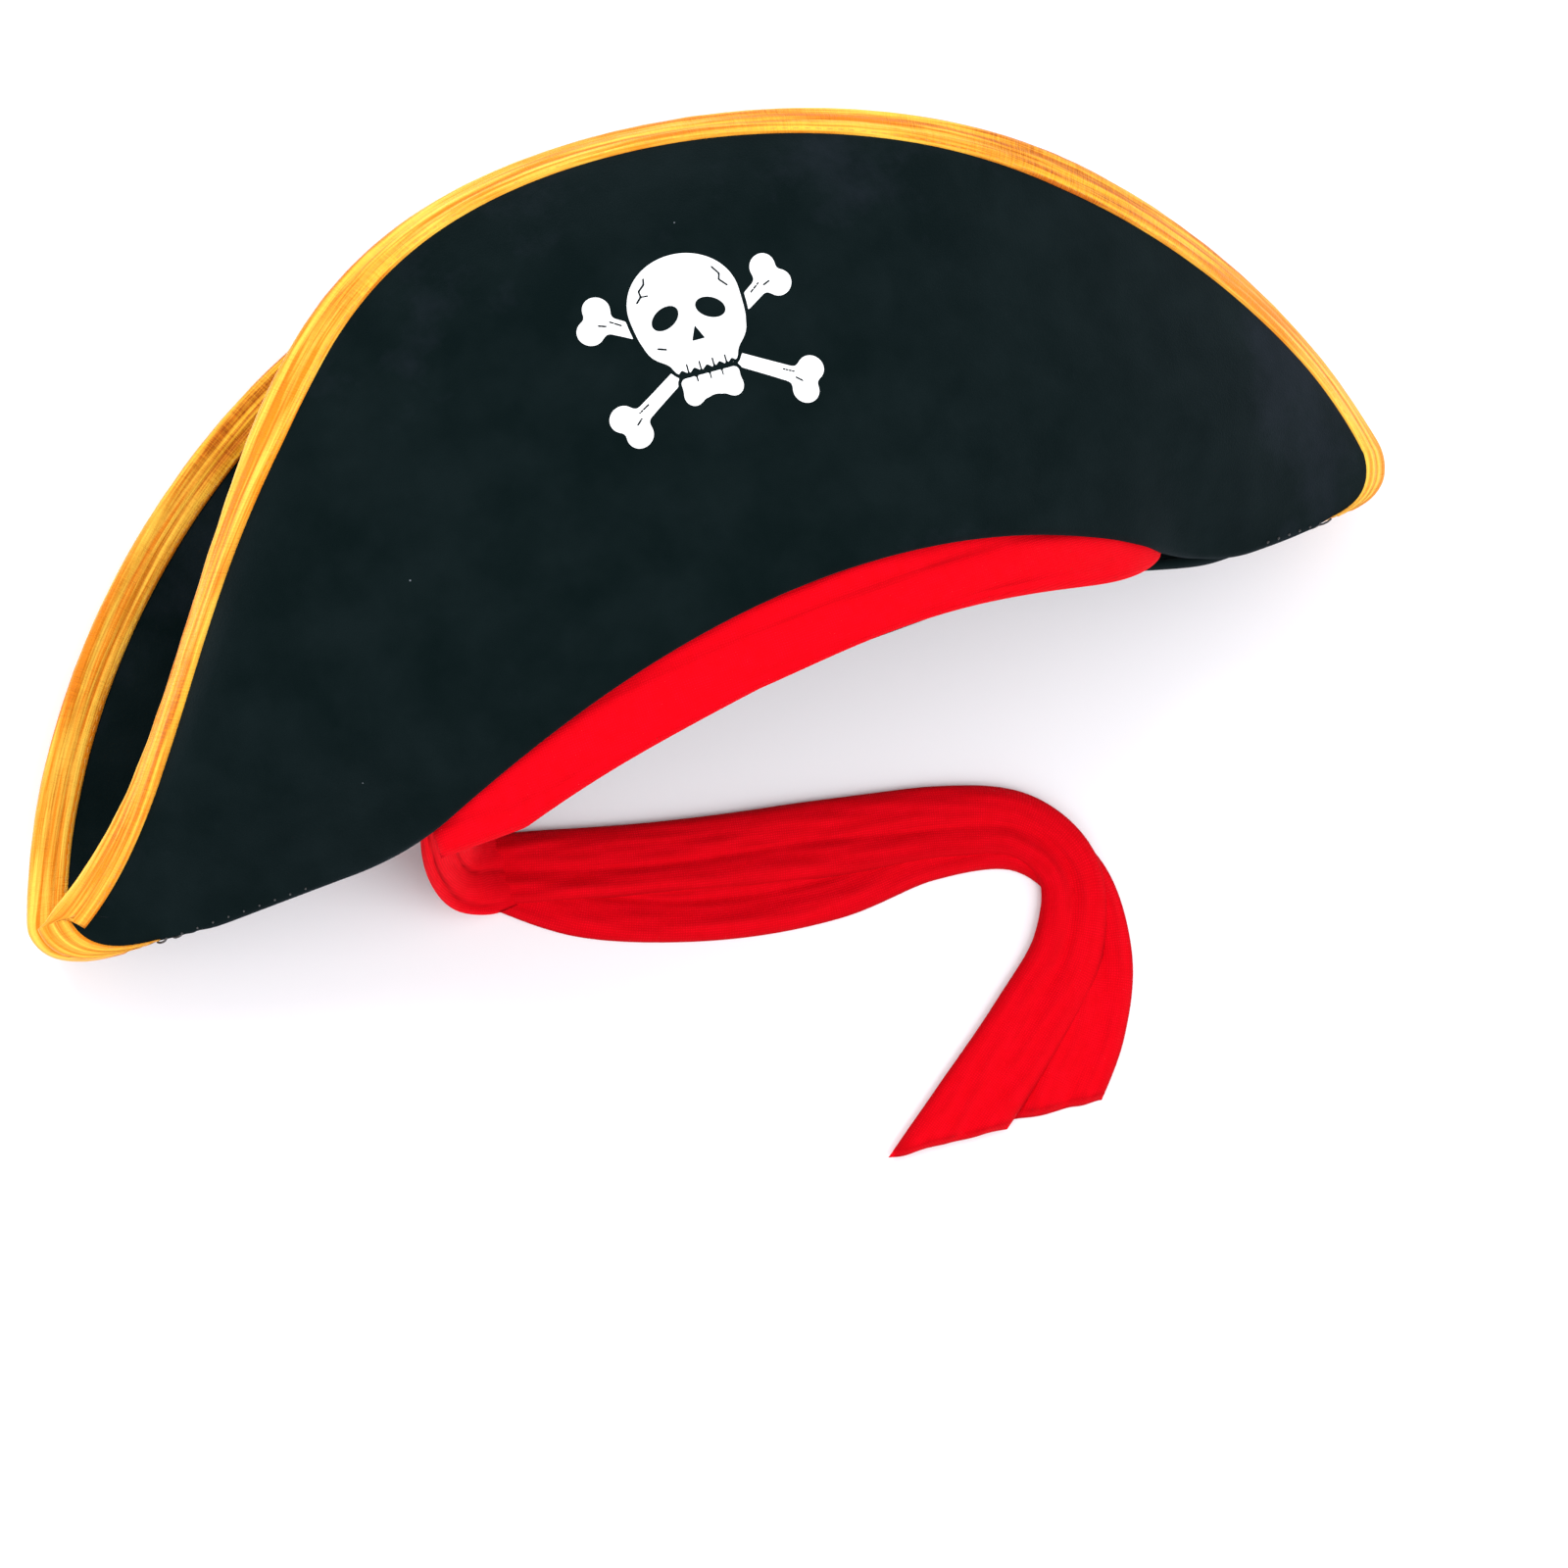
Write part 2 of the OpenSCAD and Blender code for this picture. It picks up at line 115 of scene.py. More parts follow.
PRINT_Y = TIP_Y + 0.585 * FLAP_H[FRONT]
PRINT_TURN = math.radians(4)

# ---------------------------------------------------------------- camera


def add_camera():
    """Nearly straight down on the hat, from a little to the wearer's right, its right end turned up."""
    tilt, roll, distance = math.radians(15.5), math.radians(20), 1.7
    target = Vector((0.012, -0.033, 0.0))
    backward = Vector((-math.sin(tilt), 0, math.cos(tilt)))
    level = Vector((math.cos(tilt), 0, math.sin(tilt)))
    right = level * math.cos(roll) - Vector((0, 1, 0)) * math.sin(roll)
    up = backward.cross(right)
    data = bpy.data.cameras.new("camera")
    data.sensor_width = 36
    data.lens = 36 * distance / 0.488
    camera = bpy.data.objects.new("camera", data)
    bpy.context.collection.objects.link(camera)
    place = target + backward * distance
    turned = Matrix((right, up, backward)).transposed().to_4x4()
    camera.matrix_world = Matrix.Translation(place) @ turned
    bpy.context.scene.camera = camera
    return camera


camera = add_camera()

# ---------------------------------------------------------------- the flaps' surface


def lens(a, b, x):
    """Half depth at x of a pointed oval, half width a and half depth b."""
    return 0.0 if abs(x) >= a else b * (1 - (x / a) ** 2) ** (LENS_POWER / 2)


def lens_at(a, b, turn):
    """Point of the pointed oval's outline at an angle."""
    s = math.sin(turn)
    return a * math.cos(turn), b * math.copysign(abs(s) ** LENS_POWER, s)


def edge_share(x):
    """Share that is 1 at the middle and 0 at the tips."""
    return 1 - min(1, abs(x) / HALF_W) ** 2


def keel_z(x):
    """Height of the line where the two flaps meet, falling from the crown's middle to the tips."""
    share = max(0, (abs(x) - CROWN_A) / (HALF_W - CROWN_A))
    return CROWN_Z - (CROWN_Z - TIP_Z) * min(1.2, share) ** 1.2


def lower_y(side, x):
    """A flap's lower edge: turned up at the tips, arched round the crown and eased out of the arch."""
    tip = TIP_DROP * math.sqrt(1 - min(1, abs(x) / HALF_W) ** TIP_POWER)
    u = abs(x - ARCH_X[side]) / ARCH_HALF
    bow = 1 - u * u if u < 0.9 else 4.26 * max(0, ARCH_END - u) ** 2
    return TIP_Y - tip + ARCH_RISE * bow


def half_opening(a, b, x):
    """Half the opening between the flaps: round the crown, then eased to the sewn edge."""
    shut = FLAP_T + KEEL_GAP / 2
    join = 0.93 * a
    height = lens(a, b, join)
    slope = height * LENS_POWER * join / (a * a - join * join)
    ease = slope * slope / (4 * (height - shut))
    if abs(x) < join:
        return lens(a, b, x)
    return shut + ease * max(0, join + slope / (2 * ease) - abs(x)) ** 2


def edge_z(side, x):
    """Height of a flap's outer face along its lower edge."""
    clear = CROWN_GAP[side] + FLAP_T
    return keel_z(x) + side * half_opening(CROWN_A + clear, CROWN_B + clear, x)


def open_z(side, x, y):
    """Height of a flap's outer face where it has opened out."""
    if side == BACK:
        share = max(0, abs(x) / HALF_W - FLAT_SHARE) / (1 - FLAT_SHARE)
        return LIFT + (TIP_Z - LIFT - FLAP_T - KEEL_GAP / 2) * share ** 2
    tip = TIP_Z + FLAP_T + KEEL_GAP / 2
    middle = edge_z(FRONT, 0) + OVER_CROWN
    sag = SAG * (max(0, y - SAG_FROM_Y) / (TIP_Y + FLAP_H[FRONT] - SAG_FROM_Y)) ** 2
    return tip + (middle - tip - sag) * edge_share(x)


def dents(side, x, y):
    """Shallow dents of soft foam, outward on the front flap."""
    if side == BACK:
        return 0.0
    spot = Vector((x * 9, y * 11, 0.7))
    return 1.1 * MM * (noise.noise(spot) + 0.4 * noise.noise(spot * 2.6)) * edge_share(x)


def drawn_in(rise):
    """How far the front flap's edge is drawn in at the wearer's right, at a share of its rise."""
    q = rise ** 0.75
    return 4 * FRONT_PULL * q * (1 - q)


def droop(side, x, y):
    """How far the drawn-in edge turns down."""
    rise = min(1, max(0, (y - TIP_Y) / FLAP_H[FRONT]))
    if side == BACK or rise > 0.8:
        return 0.0
    c = rise ** (0.5 / EDGE_POWER)
    edge = drawn_in(rise) - HALF_W * math.sqrt(1 - c * c) - FRONT_LEAN * c ** 3
    near = max(0, 1 - (x - edge) / DROOP_W)
    return FRONT_DROOP * (math.sin(math.pi * rise / 0.8) * near) ** 2


def face_z(side, x, y):
    """Height of a flap's outer face: rolled up from its lower edge, then opened out."""
    turned = math.sin(math.pi / 2 * min(1, max(0, (y - lower_y(side, x)) / ROLL_W)))
    low = edge_z(side, x)
    return low + (open_z(side, x, y) - low) * turned + side * dents(side, x, y) - droop(side, x, y)


def flap_normal(side, x, y):
    e = 1 * MM
    slope_x = (face_z(side, x + e, y) - face_z(side, x - e, y)) / (2 * e)
    slope_y = (face_z(side, x, y + e) - face_z(side, x, y - e)) / (2 * e)
    return Vector((-slope_x, -slope_y, 1)).normalized() * side


def flap_point(side, x, y, depth):
    """Point at a depth inside the outer face of a flap."""
    return Vector((x, y, face_z(side, x, y))) - flap_normal(side, x, y) * depth


def upper_point(side, turn):
    """Point of a flap's upper edge, at an angle from its top."""
    rise = max(0, math.cos(turn)) ** (2 * EDGE_POWER)
    x = HALF_W * math.sin(turn)
    if side == FRONT:
        x -= FRONT_LEAN * max(0, math.cos(turn)) ** 3
        if turn < 0:
            x += drawn_in(rise)
    return Vector((x, TIP_Y + FLAP_H[side] * rise, 0))


def corner_point(end, turn):
    """Point of a flap's rounded tip."""
    return Vector((end * HALF_W * math.cos(turn) ** (2 / TIP_POWER), TIP_Y - TIP_DROP * math.sin(turn), 0))


def edge_stations(side, upper=220, corner=12):
    """Places along a flap's bound edge from one lower corner to the other: (outer point, way inward)."""
    turns = [math.radians(CORNER_TURN) * k / corner for k in range(corner + 1)]
    tops = [math.radians(89) * (2 * k / upper - 1) for k in range(1, upper)]
    points = [corner_point(-1, t) for t in reversed(turns)]
    points += [upper_point(side, t) for t in tops]
    points += [corner_point(1, t) for t in turns]
    inward = []
    for k, turn in enumerate(points):
        ahead = points[min(k + 1, len(points) - 1)] - points[max(k - 1, 0)]
        level = Vector((1 if k < len(points) / 2 else -1, 0, 0))
        across = Vector((ahead.y, -ahead.x, 0)).normalized()
        share = min(1, max(0, min(k, len(points) - 1 - k) - corner) / 6)
        inward.append((across * share + level * (1 - share)).normalized())
    return list(zip(points, inward))


def tape_reach(side, rim, inward):
    """Binding's width seen from above: less where the face is steep, since the tape keeps its width."""
    p, e = rim + inward * BINDING_W * 0.5, 2 * MM
    a, b = p - inward * e, p + inward * e
    slope = (face_z(side, b.x, b.y) - face_z(side, a.x, a.y)) / (2 * e)
    return BINDING_W * max(0.4, 1 / math.sqrt(1 + slope * slope))


def foot_x(share):
    """Where a line across the flap meets its lower edge."""
    reach = corner_point(1, math.radians(CORNER_TURN)).x - BINDING_W - 3 * MM
    return reach * math.sin(math.pi / 2 * (2 * share - 1))


# ---------------------------------------------------------------- mesh helpers


def mesh_object(name, verts, faces, uvs=None, smooth=True):
    """Object from points and faces; uvs is one pair for each point."""
    mesh = bpy.data.meshes.new(name)
    mesh.from_pydata([tuple(v) for v in verts], [], faces)
    if uvs:
        layer = mesh.uv_layers.new(name="cloth")
        for loop in mesh.loops:
            layer.data[loop.index].uv = uvs[loop.vertex_index]
    mesh.polygons.foreach_set("use_smooth", [smooth] * len(mesh.polygons))
    mesh.update()
    obj = bpy.data.objects.new(name, mesh)
    bpy.context.collection.objects.link(obj)
    return obj


def face_outward(obj):
    """Turn all faces of a closed shell outward."""
    shell = bmesh.new()
    shell.from_mesh(obj.data)
    bmesh.ops.remove_doubles(shell, verts=shell.verts, dist=1e-6)
    bmesh.ops.recalc_face_normals(shell, faces=shell.faces)
    shell.to_mesh(obj.data)
    shell.free()
    return obj


def loft(name, rings, uvs=None, loop=True, smooth=True):
    """Skin over rings of points. With loop, each ring is closed, and the two ends are capped."""
    n = len(rings[0])
    count = n if loop else n - 1
    faces = []
    for r in range(len(rings) - 1):
        for k in range(count):
            a, b = r * n + k, r * n + (k + 1) % n
            faces.append((a, b, b + n, a + n))
    if loop:
        half = n // 2
        last = (len(rings) - 1) * n
        for k in range(half - 1):
            faces.append((k + 1, k, n - 1 - k, n - 2 - k))
            faces.append((last + k, last + k + 1, last + n - 2 - k, last + n - 1 - k))
    verts = [p for ring in rings for p in ring]
    flat = [uv for ring in uvs for uv in ring] if uvs else None
    return face_outward(mesh_object(name, verts, faces, flat, smooth))


def use(obj, material, body="hat", node=None):
    """Give a piece its material and the body that it rides on, and hide the CAD nodes that it stands for."""
    obj.data.materials.clear()
    obj.data.materials.append(material)
    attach(obj, body)
    if node:
        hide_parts(*([node] if isinstance(node, str) else node))
    return obj


# ---------------------------------------------------------------- materials


def new_material(name):
    material = bpy.data.materials.new(name)
    material.use_nodes = True
    tree = material.node_tree
    tree.nodes.clear()
    output = tree.nodes.new("ShaderNodeOutputMaterial")
    shader = tree.nodes.new("ShaderNodeBsdfPrincipled")
    tree.links.new(shader.outputs[0], output.inputs[0])
    return material, tree, shader


def add(tree, kind, **values):
    """Node with its settings and input values."""
    node = tree.nodes.new(kind)
    for key, value in values.items():
        if key in node.inputs:
            node.inputs[key].default_value = value
        else:
            setattr(node, key, value)
    return node


def effect_group(name, numbers):
    """Shader node group that takes a place and named numbers and gives one value."""
    tree = bpy.data.node_groups.new(name, "ShaderNodeTree")
    tree.interface.new_socket("Place", in_out="INPUT", socket_type="NodeSocketVector")
    for label, value in numbers.items():
        socket = tree.interface.new_socket(label, in_out="INPUT", socket_type="NodeSocketFloat")
        socket.default_value = value
    tree.interface.new_socket("Value", in_out="OUTPUT", socket_type="NodeSocketFloat")
    return tree, tree.nodes.new("NodeGroupInput"), tree.nodes.new("NodeGroupOutput")


def mottle_group():
    """Soft cloudy mask between two levels."""
    numbers = {"Scale": 10.0, "Detail": 3.0, "Roughness": 0.55, "Low": 0.0, "High": 1.0}
    tree, given, out = effect_group("mottle", numbers)
    cloud = tree.nodes.new("ShaderNodeTexNoise")
    level = tree.nodes.new("ShaderNodeMapRange")
    tree.links.new(given.outputs["Place"], cloud.inputs["Vector"])
    for label in ("Scale", "Detail", "Roughness"):
        tree.links.new(given.outputs[label], cloud.inputs[label])
    tree.links.new(cloud.outputs["Fac"], level.inputs[0])
    tree.links.new(given.outputs["Low"], level.inputs[1])
    tree.links.new(given.outputs["High"], level.inputs[2])
    tree.links.new(level.outputs[0], out.inputs["Value"])
    return tree


def weave_group():
    """Rows crossed by columns, as the height of a fine cloth."""
    tree, given, out = effect_group("weave", {"Scale": 400.0, "Wander": 2.0})
    product = tree.nodes.new("ShaderNodeMath")
    product.operation = "MULTIPLY"
    for k, direction in enumerate(("X", "Y")):
        wave = tree.nodes.new("ShaderNodeTexWave")
        wave.bands_direction = direction
        wave.inputs["Detail"].default_value = 1.0
        tree.links.new(given.outputs["Place"], wave.inputs["Vector"])
        tree.links.new(given.outputs["Scale"], wave.inputs["Scale"])
        tree.links.new(given.outputs["Wander"], wave.inputs["Distortion"])
        tree.links.new(wave.outputs["Fac"], product.inputs[k])
    tree.links.new(product.outputs[0], out.inputs["Value"])
    return tree


def specks_group():
    """Small sparse specks, scattered."""
    tree, given, out = effect_group("specks", {"Scale": 60.0, "Size": 0.02, "Share": 0.3})
    cells = tree.nodes.new("ShaderNodeTexVoronoi")
    near = tree.nodes.new("ShaderNodeMath")
    near.operation = "LESS_THAN"
    split = tree.nodes.new("ShaderNodeSeparateColor")
    some = tree.nodes.new("ShaderNodeMath")
    some.operation = "LESS_THAN"
    both = tree.nodes.new("ShaderNodeMath")
    both.operation = "MULTIPLY"
    tree.links.new(given.outputs["Place"], cells.inputs["Vector"])
    tree.links.new(given.outputs["Scale"], cells.inputs["Scale"])
    tree.links.new(cells.outputs["Distance"], near.inputs[0])
    tree.links.new(given.outputs["Size"], near.inputs[1])
    tree.links.new(cells.outputs["Color"], split.inputs[0])
    tree.links.new(split.outputs[0], some.inputs[0])
    tree.links.new(given.outputs["Share"], some.inputs[1])
    tree.links.new(near.outputs[0], both.inputs[0])
    tree.links.new(some.outputs[0], both.inputs[1])
    tree.links.new(both.outputs[0], out.inputs["Value"])
    return tree


MOTTLE = mottle_group()
WEAVE = weave_group()
SPECKS = specks_group()


def effect(tree, group, place, **numbers):
    """Use of an effect group in a material."""
    node = tree.nodes.new("ShaderNodeGroup")
    node.node_tree = group
    tree.links.new(place, node.inputs["Place"])
    for label, value in numbers.items():
        node.inputs[label].default_value = value
    return node.outputs["Value"]


def mix_colour(tree, factor, first, second):
    node = tree.nodes.new("ShaderNodeMix")
    node.data_type = "RGBA"
    tree.links.new(factor, node.inputs[0])
    for socket, value in ((node.inputs[6], first), (node.inputs[7], second)):
        if isinstance(value, tuple):
            socket.default_value = (*value, 1)
        else:
            tree.links.new(value, socket)
    return node.outputs[2]


def bump(tree, height, strength, distance, normal=None):
    node = add(tree, "ShaderNodeBump", Strength=strength, Distance=distance)
    tree.links.new(height, node.inputs["Height"])
    if normal:
        tree.links.new(normal, node.inputs["Normal"])
    return node.outputs["Normal"]


def object_coords(tree):
    return tree.nodes.new("ShaderNodeTexCoord").outputs["Object"]


def painted_fold_shade_mask(tree, lowest):
    """Share that is 0 in the bottom of a fold and 1 on open cloth, for painting shade into the folds."""
    hollow = add(tree, "ShaderNodeMapRange")
    hollow.inputs["From Min"].default_value = lowest
    hollow.inputs["From Max"].default_value = 0.5
    tree.links.new(add(tree, "ShaderNodeNewGeometry").outputs["Pointiness"], hollow.inputs["Value"])
    return hollow.outputs[0]


def velvet_material():
    """Short black pile, with painted sheen: blue-grey patches and darker streaks where the pile would catch
    the light, and specks of lint.
    """
    material, tree, shader = new_material("black_velvet")
    place = object_coords(tree)
    # painted sheen: lighter blue-grey patches and darker streaks of the pile, put into the base colour
    patches = effect(tree, MOTTLE, place, Scale=9.0, Detail=6.0, Roughness=0.68, Low=0.54, High=0.82)
    painted_nap_sheen = effect(tree, MOTTLE, place, Scale=46.0, Detail=3.0, Low=0.35, High=0.7)
    pile = effect(tree, MOTTLE, place, Scale=1500.0, Detail=2.0, Roughness=0.7)
    colour = mix_colour(tree, patches, (0.0018, 0.0062, 0.0066), (0.0190, 0.0230, 0.0350))
    deep = mix_colour(tree, painted_nap_sheen, (0.0010, 0.0040, 0.0044), (0.0065, 0.0120, 0.0135))
    blended = tree.nodes.new("ShaderNodeMix")
    blended.data_type = "RGBA"
    blended.inputs[0].default_value = 0.4
    tree.links.new(colour, blended.inputs[6])
    tree.links.new(deep, blended.inputs[7])
    lint = effect(tree, SPECKS, place, Scale=75.0, Size=0.02, Share=0.32)
    colour = mix_colour(tree, lint, blended.outputs[2], (0.13, 0.145, 0.165))
    tree.links.new(colour, shader.inputs["Base Color"])
    tree.links.new(bump(tree, pile, 0.5, 0.0004), shader.inputs["Normal"])
    shader.inputs["Roughness"].default_value = 0.95
    shader.inputs["Specular IOR Level"].default_value = 0.04
    shader.inputs["Sheen Weight"].default_value = 0.06
    shader.inputs["Sheen Roughness"].default_value = 0.5
    shader.inputs["Sheen Tint"].default_value = (0.40, 0.50, 0.62, 1)
    return material


def binding_material():
    """Gold-orange satin tape: fine ribs across it, with painted highlights and painted shade in long streaks
    along it and in its creases.
    """
    material, tree, shader = new_material("gold_satin")
    uv = add(tree, "ShaderNodeUVMap", uv_map="cloth").outputs[0]
    place = object_coords(tree)
    stretch = add(tree, "ShaderNodeMapping")
    stretch.inputs["Scale"].default_value = (14, 520, 1)
    tree.links.new(uv, stretch.inputs["Vector"])
    long = stretch.outputs[0]
    # painted highlights and painted crease shade: long streaks of yellow against dark orange-brown along the
    # tape
    painted_light_streaks = effect(tree, MOTTLE, long, Scale=1.0, Detail=4.0, Roughness=0.65, Low=0.42, High=0.60)
    threads = add(tree, "ShaderNodeMapping")
    threads.inputs["Scale"].default_value = (1900, 150, 1)
    tree.links.new(uv, threads.inputs["Vector"])
    ribs = effect(tree, MOTTLE, threads.outputs[0], Scale=1.0, Detail=2.0, Low=0.3, High=0.7)
    # broad patches of painted highlight
    painted_highlight_patches = effect(tree, MOTTLE, place, Scale=11.0, Detail=2.0, Low=0.4, High=0.6)
    dark = mix_colour(tree, ribs, (0.34, 0.055, 0.001), (0.72, 0.18, 0.004))
    painted_highlight = mix_colour(tree, ribs, (0.94, 0.38, 0.012), (1.0, 0.55, 0.05))
    base = mix_colour(tree, painted_light_streaks, dark, painted_highlight)
    # painted highlight colours for the broad patches
    light = mix_colour(tree, painted_light_streaks, (0.80, 0.23, 0.006), (1.0, 0.60, 0.08))
    satin = mix_colour(tree, painted_highlight_patches, base, light)
    # painted shade in the bottoms of the folds
    painted_crease_shade = mix_colour(tree, painted_fold_shade_mask(tree, 0.42), (0.28, 0.04, 0.001), satin)
    tree.links.new(painted_crease_shade, shader.inputs["Base Color"])
    weave = effect(tree, WEAVE, uv, Scale=420.0, Wander=1.0)
    coarse = bump(tree, ribs, 0.5, 0.0004)
    tree.links.new(bump(tree, weave, 0.35, 0.0002, coarse), shader.inputs["Normal"])
    shader.inputs["Roughness"].default_value = 0.42
    shader.inputs["Specular IOR Level"].default_value = 0.3
    shader.inputs["Specular Tint"].default_value = (1.0, 0.75, 0.3, 1)
    shader.inputs["Sheen Weight"].default_value = 0.06
    shader.inputs["Sheen Tint"].default_value = (1.0, 0.75, 0.3, 1)
    return material


def knit_material(name, dark, light, sheen, scale=420.0, bloom=0.22):
    """Fine knitted cloth with tiny stitches and a soft bloom, painted shade between the stitches and painted
    shade in the bottoms of folds.
    """
    material, tree, shader = new_material(name)
    place = object_coords(tree)
    uv = add(tree, "ShaderNodeUVMap", uv_map="cloth").outputs[0]
    weave = effect(tree, WEAVE, uv, Scale=scale)
    mottle = effect(tree, MOTTLE, place, Scale=220.0, Roughness=0.7, Low=0.35, High=0.65)
    shades = mix_colour(tree, mottle, dark, light)
    # painted shade between the stitches, where the weave is low
    between = tuple(0.82 * c for c in dark)
    # painted shade in the bottoms of the folds
    deep = tuple(0.5 * c for c in dark)
    cloth = mix_colour(tree, weave, between, shades)
    tree.links.new(mix_colour(tree, painted_fold_shade_mask(tree, 0.43), deep, cloth), shader.inputs["Base Color"])
    fine = bump(tree, effect(tree, MOTTLE, place, Scale=900.0, Detail=2.0), 0.25, 0.0003)
    tree.links.new(bump(tree, weave, 0.4, 0.0003, fine), shader.inputs["Normal"])
    shader.inputs["Roughness"].default_value = 0.78
    shader.inputs["Specular IOR Level"].default_value = 0.04
    shader.inputs["Sheen Weight"].default_value = bloom
    shader.inputs["Sheen Tint"].default_value = (*sheen, 1)
    return material


def ink_material():
    """White ink pressed on the pile, a little uneven."""
    material, tree, shader = new_material("white_ink")
    place = object_coords(tree)
    grain = effect(tree, MOTTLE, place, Scale=900.0, Roughness=0.7, Low=0.3, High=0.7)
    white = mix_colour(tree, grain, (0.84, 0.86, 0.89), (0.95, 0.96, 0.98))
    tree.links.new(white, shader.inputs["Base Color"])
    tree.links.new(bump(tree, grain, 0.3, 0.0002), shader.inputs["Normal"])
    shader.inputs["Roughness"].default_value = 0.55
    return material


def thread_material(name, colour):
    material, tree, shader = new_material(name)
    twist = effect(tree, MOTTLE, object_coords(tree), Scale=2500.0, Detail=2.0, Low=0.3, High=0.7)
    dark = tuple(0.6 * c for c in colour)
    tree.links.new(mix_colour(tree, twist, dark, colour), shader.inputs["Base Color"])
    tree.links.new(bump(tree, twist, 0.5, 0.0002), shader.inputs["Normal"])
    shader.inputs["Roughness"].default_value = 0.6
    shader.inputs["Sheen Weight"].default_value = 0.2
    return material


def floor_material():
    material, tree, shader = new_material("pale_table")
    speck = effect(tree, MOTTLE, object_coords(tree), Scale=3.0, Detail=2.0)
    colour = mix_colour(tree, speck, (0.955, 0.935, 0.985), (0.97, 0.95, 0.99))
    tree.links.new(colour, shader.inputs["Base Color"])
    shader.inputs["Roughness"].default_value = 0.8
    return material


velvet = velvet_material()
gold = binding_material()
red = knit_material("red_knit", (0.80, 0.0, 0.006), (0.96, 0.001, 0.014), (1.0, 0.12, 0.2), bloom=0.05)
lining_cloth = knit_material("black_lining", (0.010, 0.010, 0.011), (0.018, 0.018, 0.02), (0.4, 0.4, 0.45))
band_cloth = knit_material("black_band", (0.014, 0.014, 0.015), (0.03, 0.03, 0.033), (0.4, 0.4, 0.45))
label_cloth = knit_material("white_label", (0.74, 0.74, 0.72), (0.84, 0.84, 0.82), (1, 1, 1), 700.0)
ink = ink_material()
black_thread = thread_material("black_thread", (0.02, 0.02, 0.022))
gold_thread = thread_material("gold_thread", (0.8, 0.36, 0.04))
red_thread = thread_material("red_thread", (0.5, 0.0, 0.012))

# ---------------------------------------------------------------- flaps


def flap_cover(side, name, inner, nodes):
    """Velvet of one side of a flap. The outer piece turns under the lower edge to meet the inner piece."""
    stations = edge_stations(side)
    rows = 56
    wrap = 10
    skin_side, back_side = (0.0, VELVET_T) if not inner else (FLAP_T, FLAP_T - VELVET_T)
    rings, uvs = [], []
    for i, (rim, inward) in enumerate(stations):
        under = rim + inward * BINDING_W
        fx = foot_x(i / (len(stations) - 1))
        foot = Vector((fx, lower_y(side, fx), 0))
        line = [rim] + [under + (foot - under) * (k / rows) for k in range(rows + 1)]
        front = [flap_point(side, p.x, p.y, skin_side) for p in line]
        back = [flap_point(side, p.x, p.y, back_side) for p in reversed(line)]
        fold = []
        if not inner:
            out = flap_normal(side, foot.x, foot.y)
            down = (front[-1] - front[-2]).normalized()
            middle = front[-1] - out * FLAP_T / 2
            for k in range(1, wrap):
                turn = math.pi * k / wrap
                fold.append(middle + out * FLAP_T / 2 * math.cos(turn) + down * FLAP_T / 2 * math.sin(turn))
            tuck = FLAP_T / 2 - VELVET_T
            for k in range(wrap - 1, 0, -1):
                turn = math.pi * k / wrap
                fold.append(middle + out * tuck * math.cos(turn) + down * tuck * math.sin(turn))
        ring = front + fold + back
        rings.append(ring)
        uvs.append([(p.x, p.y) for p in ring])
    return use(loft(name, rings, uvs), velvet, node=nodes)


def flap_binding(side, name, node):
    """Satin tape folded over a flap's edge, with lengthwise creases and a puckered hem."""
    stations = edge_stations(side, upper=420, corner=20)
    across = 14
    rings, uvs = [], []
    along = 0.0
    seed = 3.1 if side == FRONT else 8.4
    for i, (rim, inward) in enumerate(stations):
        if i:
            along += (rim - stations[i - 1][0]).length
        hem = rim + inward * tape_reach(side, rim, inward)
        edge_out = (flap_point(side, rim.x, rim.y, 0) - flap_point(side, hem.x, hem.y, 0)).normalized()
        normal = flap_normal(side, (rim.x + hem.x) / 2, (rim.y + hem.y) / 2)
        ring, uv = [], []

        def full(v, face):
            """Height of the tape over the cloth: thin at the hem, full, with a crease along it."""
            wander = 0.12 * noise.noise(Vector((along * 22, seed, face)))
            crease = math.exp(-(((v - 0.52 - wander) / 0.09) ** 2))
            pucker = noise.noise(Vector((along * 160, v * 1.5 + seed, face * 5)))
            body = 0.28 + 0.85 * math.sin(math.pi * min(1, v * 1.15 + 0.04)) ** 0.7
            return MM * (body - 0.42 * crease + 0.16 * pucker * (0.4 + v))

        for k in range(across + 1):
            v = k / across
            p = hem + (rim - hem) * v
            ring.append(flap_point(side, p.x, p.y, 0) + normal * full(v, 0))
            uv.append((along, v * BINDING_W))
        radius = FLAP_T / 2 + 0.45 * MM
        middle = flap_point(side, rim.x, rim.y, FLAP_T / 2)
        for k in range(1, 8):
            turn = math.pi * k / 8
            ripple = 1 + 0.06 * noise.noise(Vector((along * 130, seed + k, 2)))
            reach = edge_out * radius * math.sin(turn) + normal * radius * math.cos(turn)
            ring.append(middle + reach * ripple)
            uv.append((along, BINDING_W + k * 0.9 * MM))
        for k in range(across, -1, -1):
            v = k / across
            p = hem + (rim - hem) * v
            ring.append(flap_point(side, p.x, p.y, FLAP_T) - normal * full(v, 1))
            uv.append((along, 2 * BINDING_W + 7 * MM - v * BINDING_W))
        ring.append(flap_point(side, hem.x, hem.y, FLAP_T * 0.8))
        uv.append(uv[-1])
        ring.append(flap_point(side, hem.x, hem.y, FLAP_T * 0.2))
        uv.append(uv[0])
        rings.append(ring)
        uvs.append(uv)
    return use(loft(name, rings, uvs), gold, node=node)


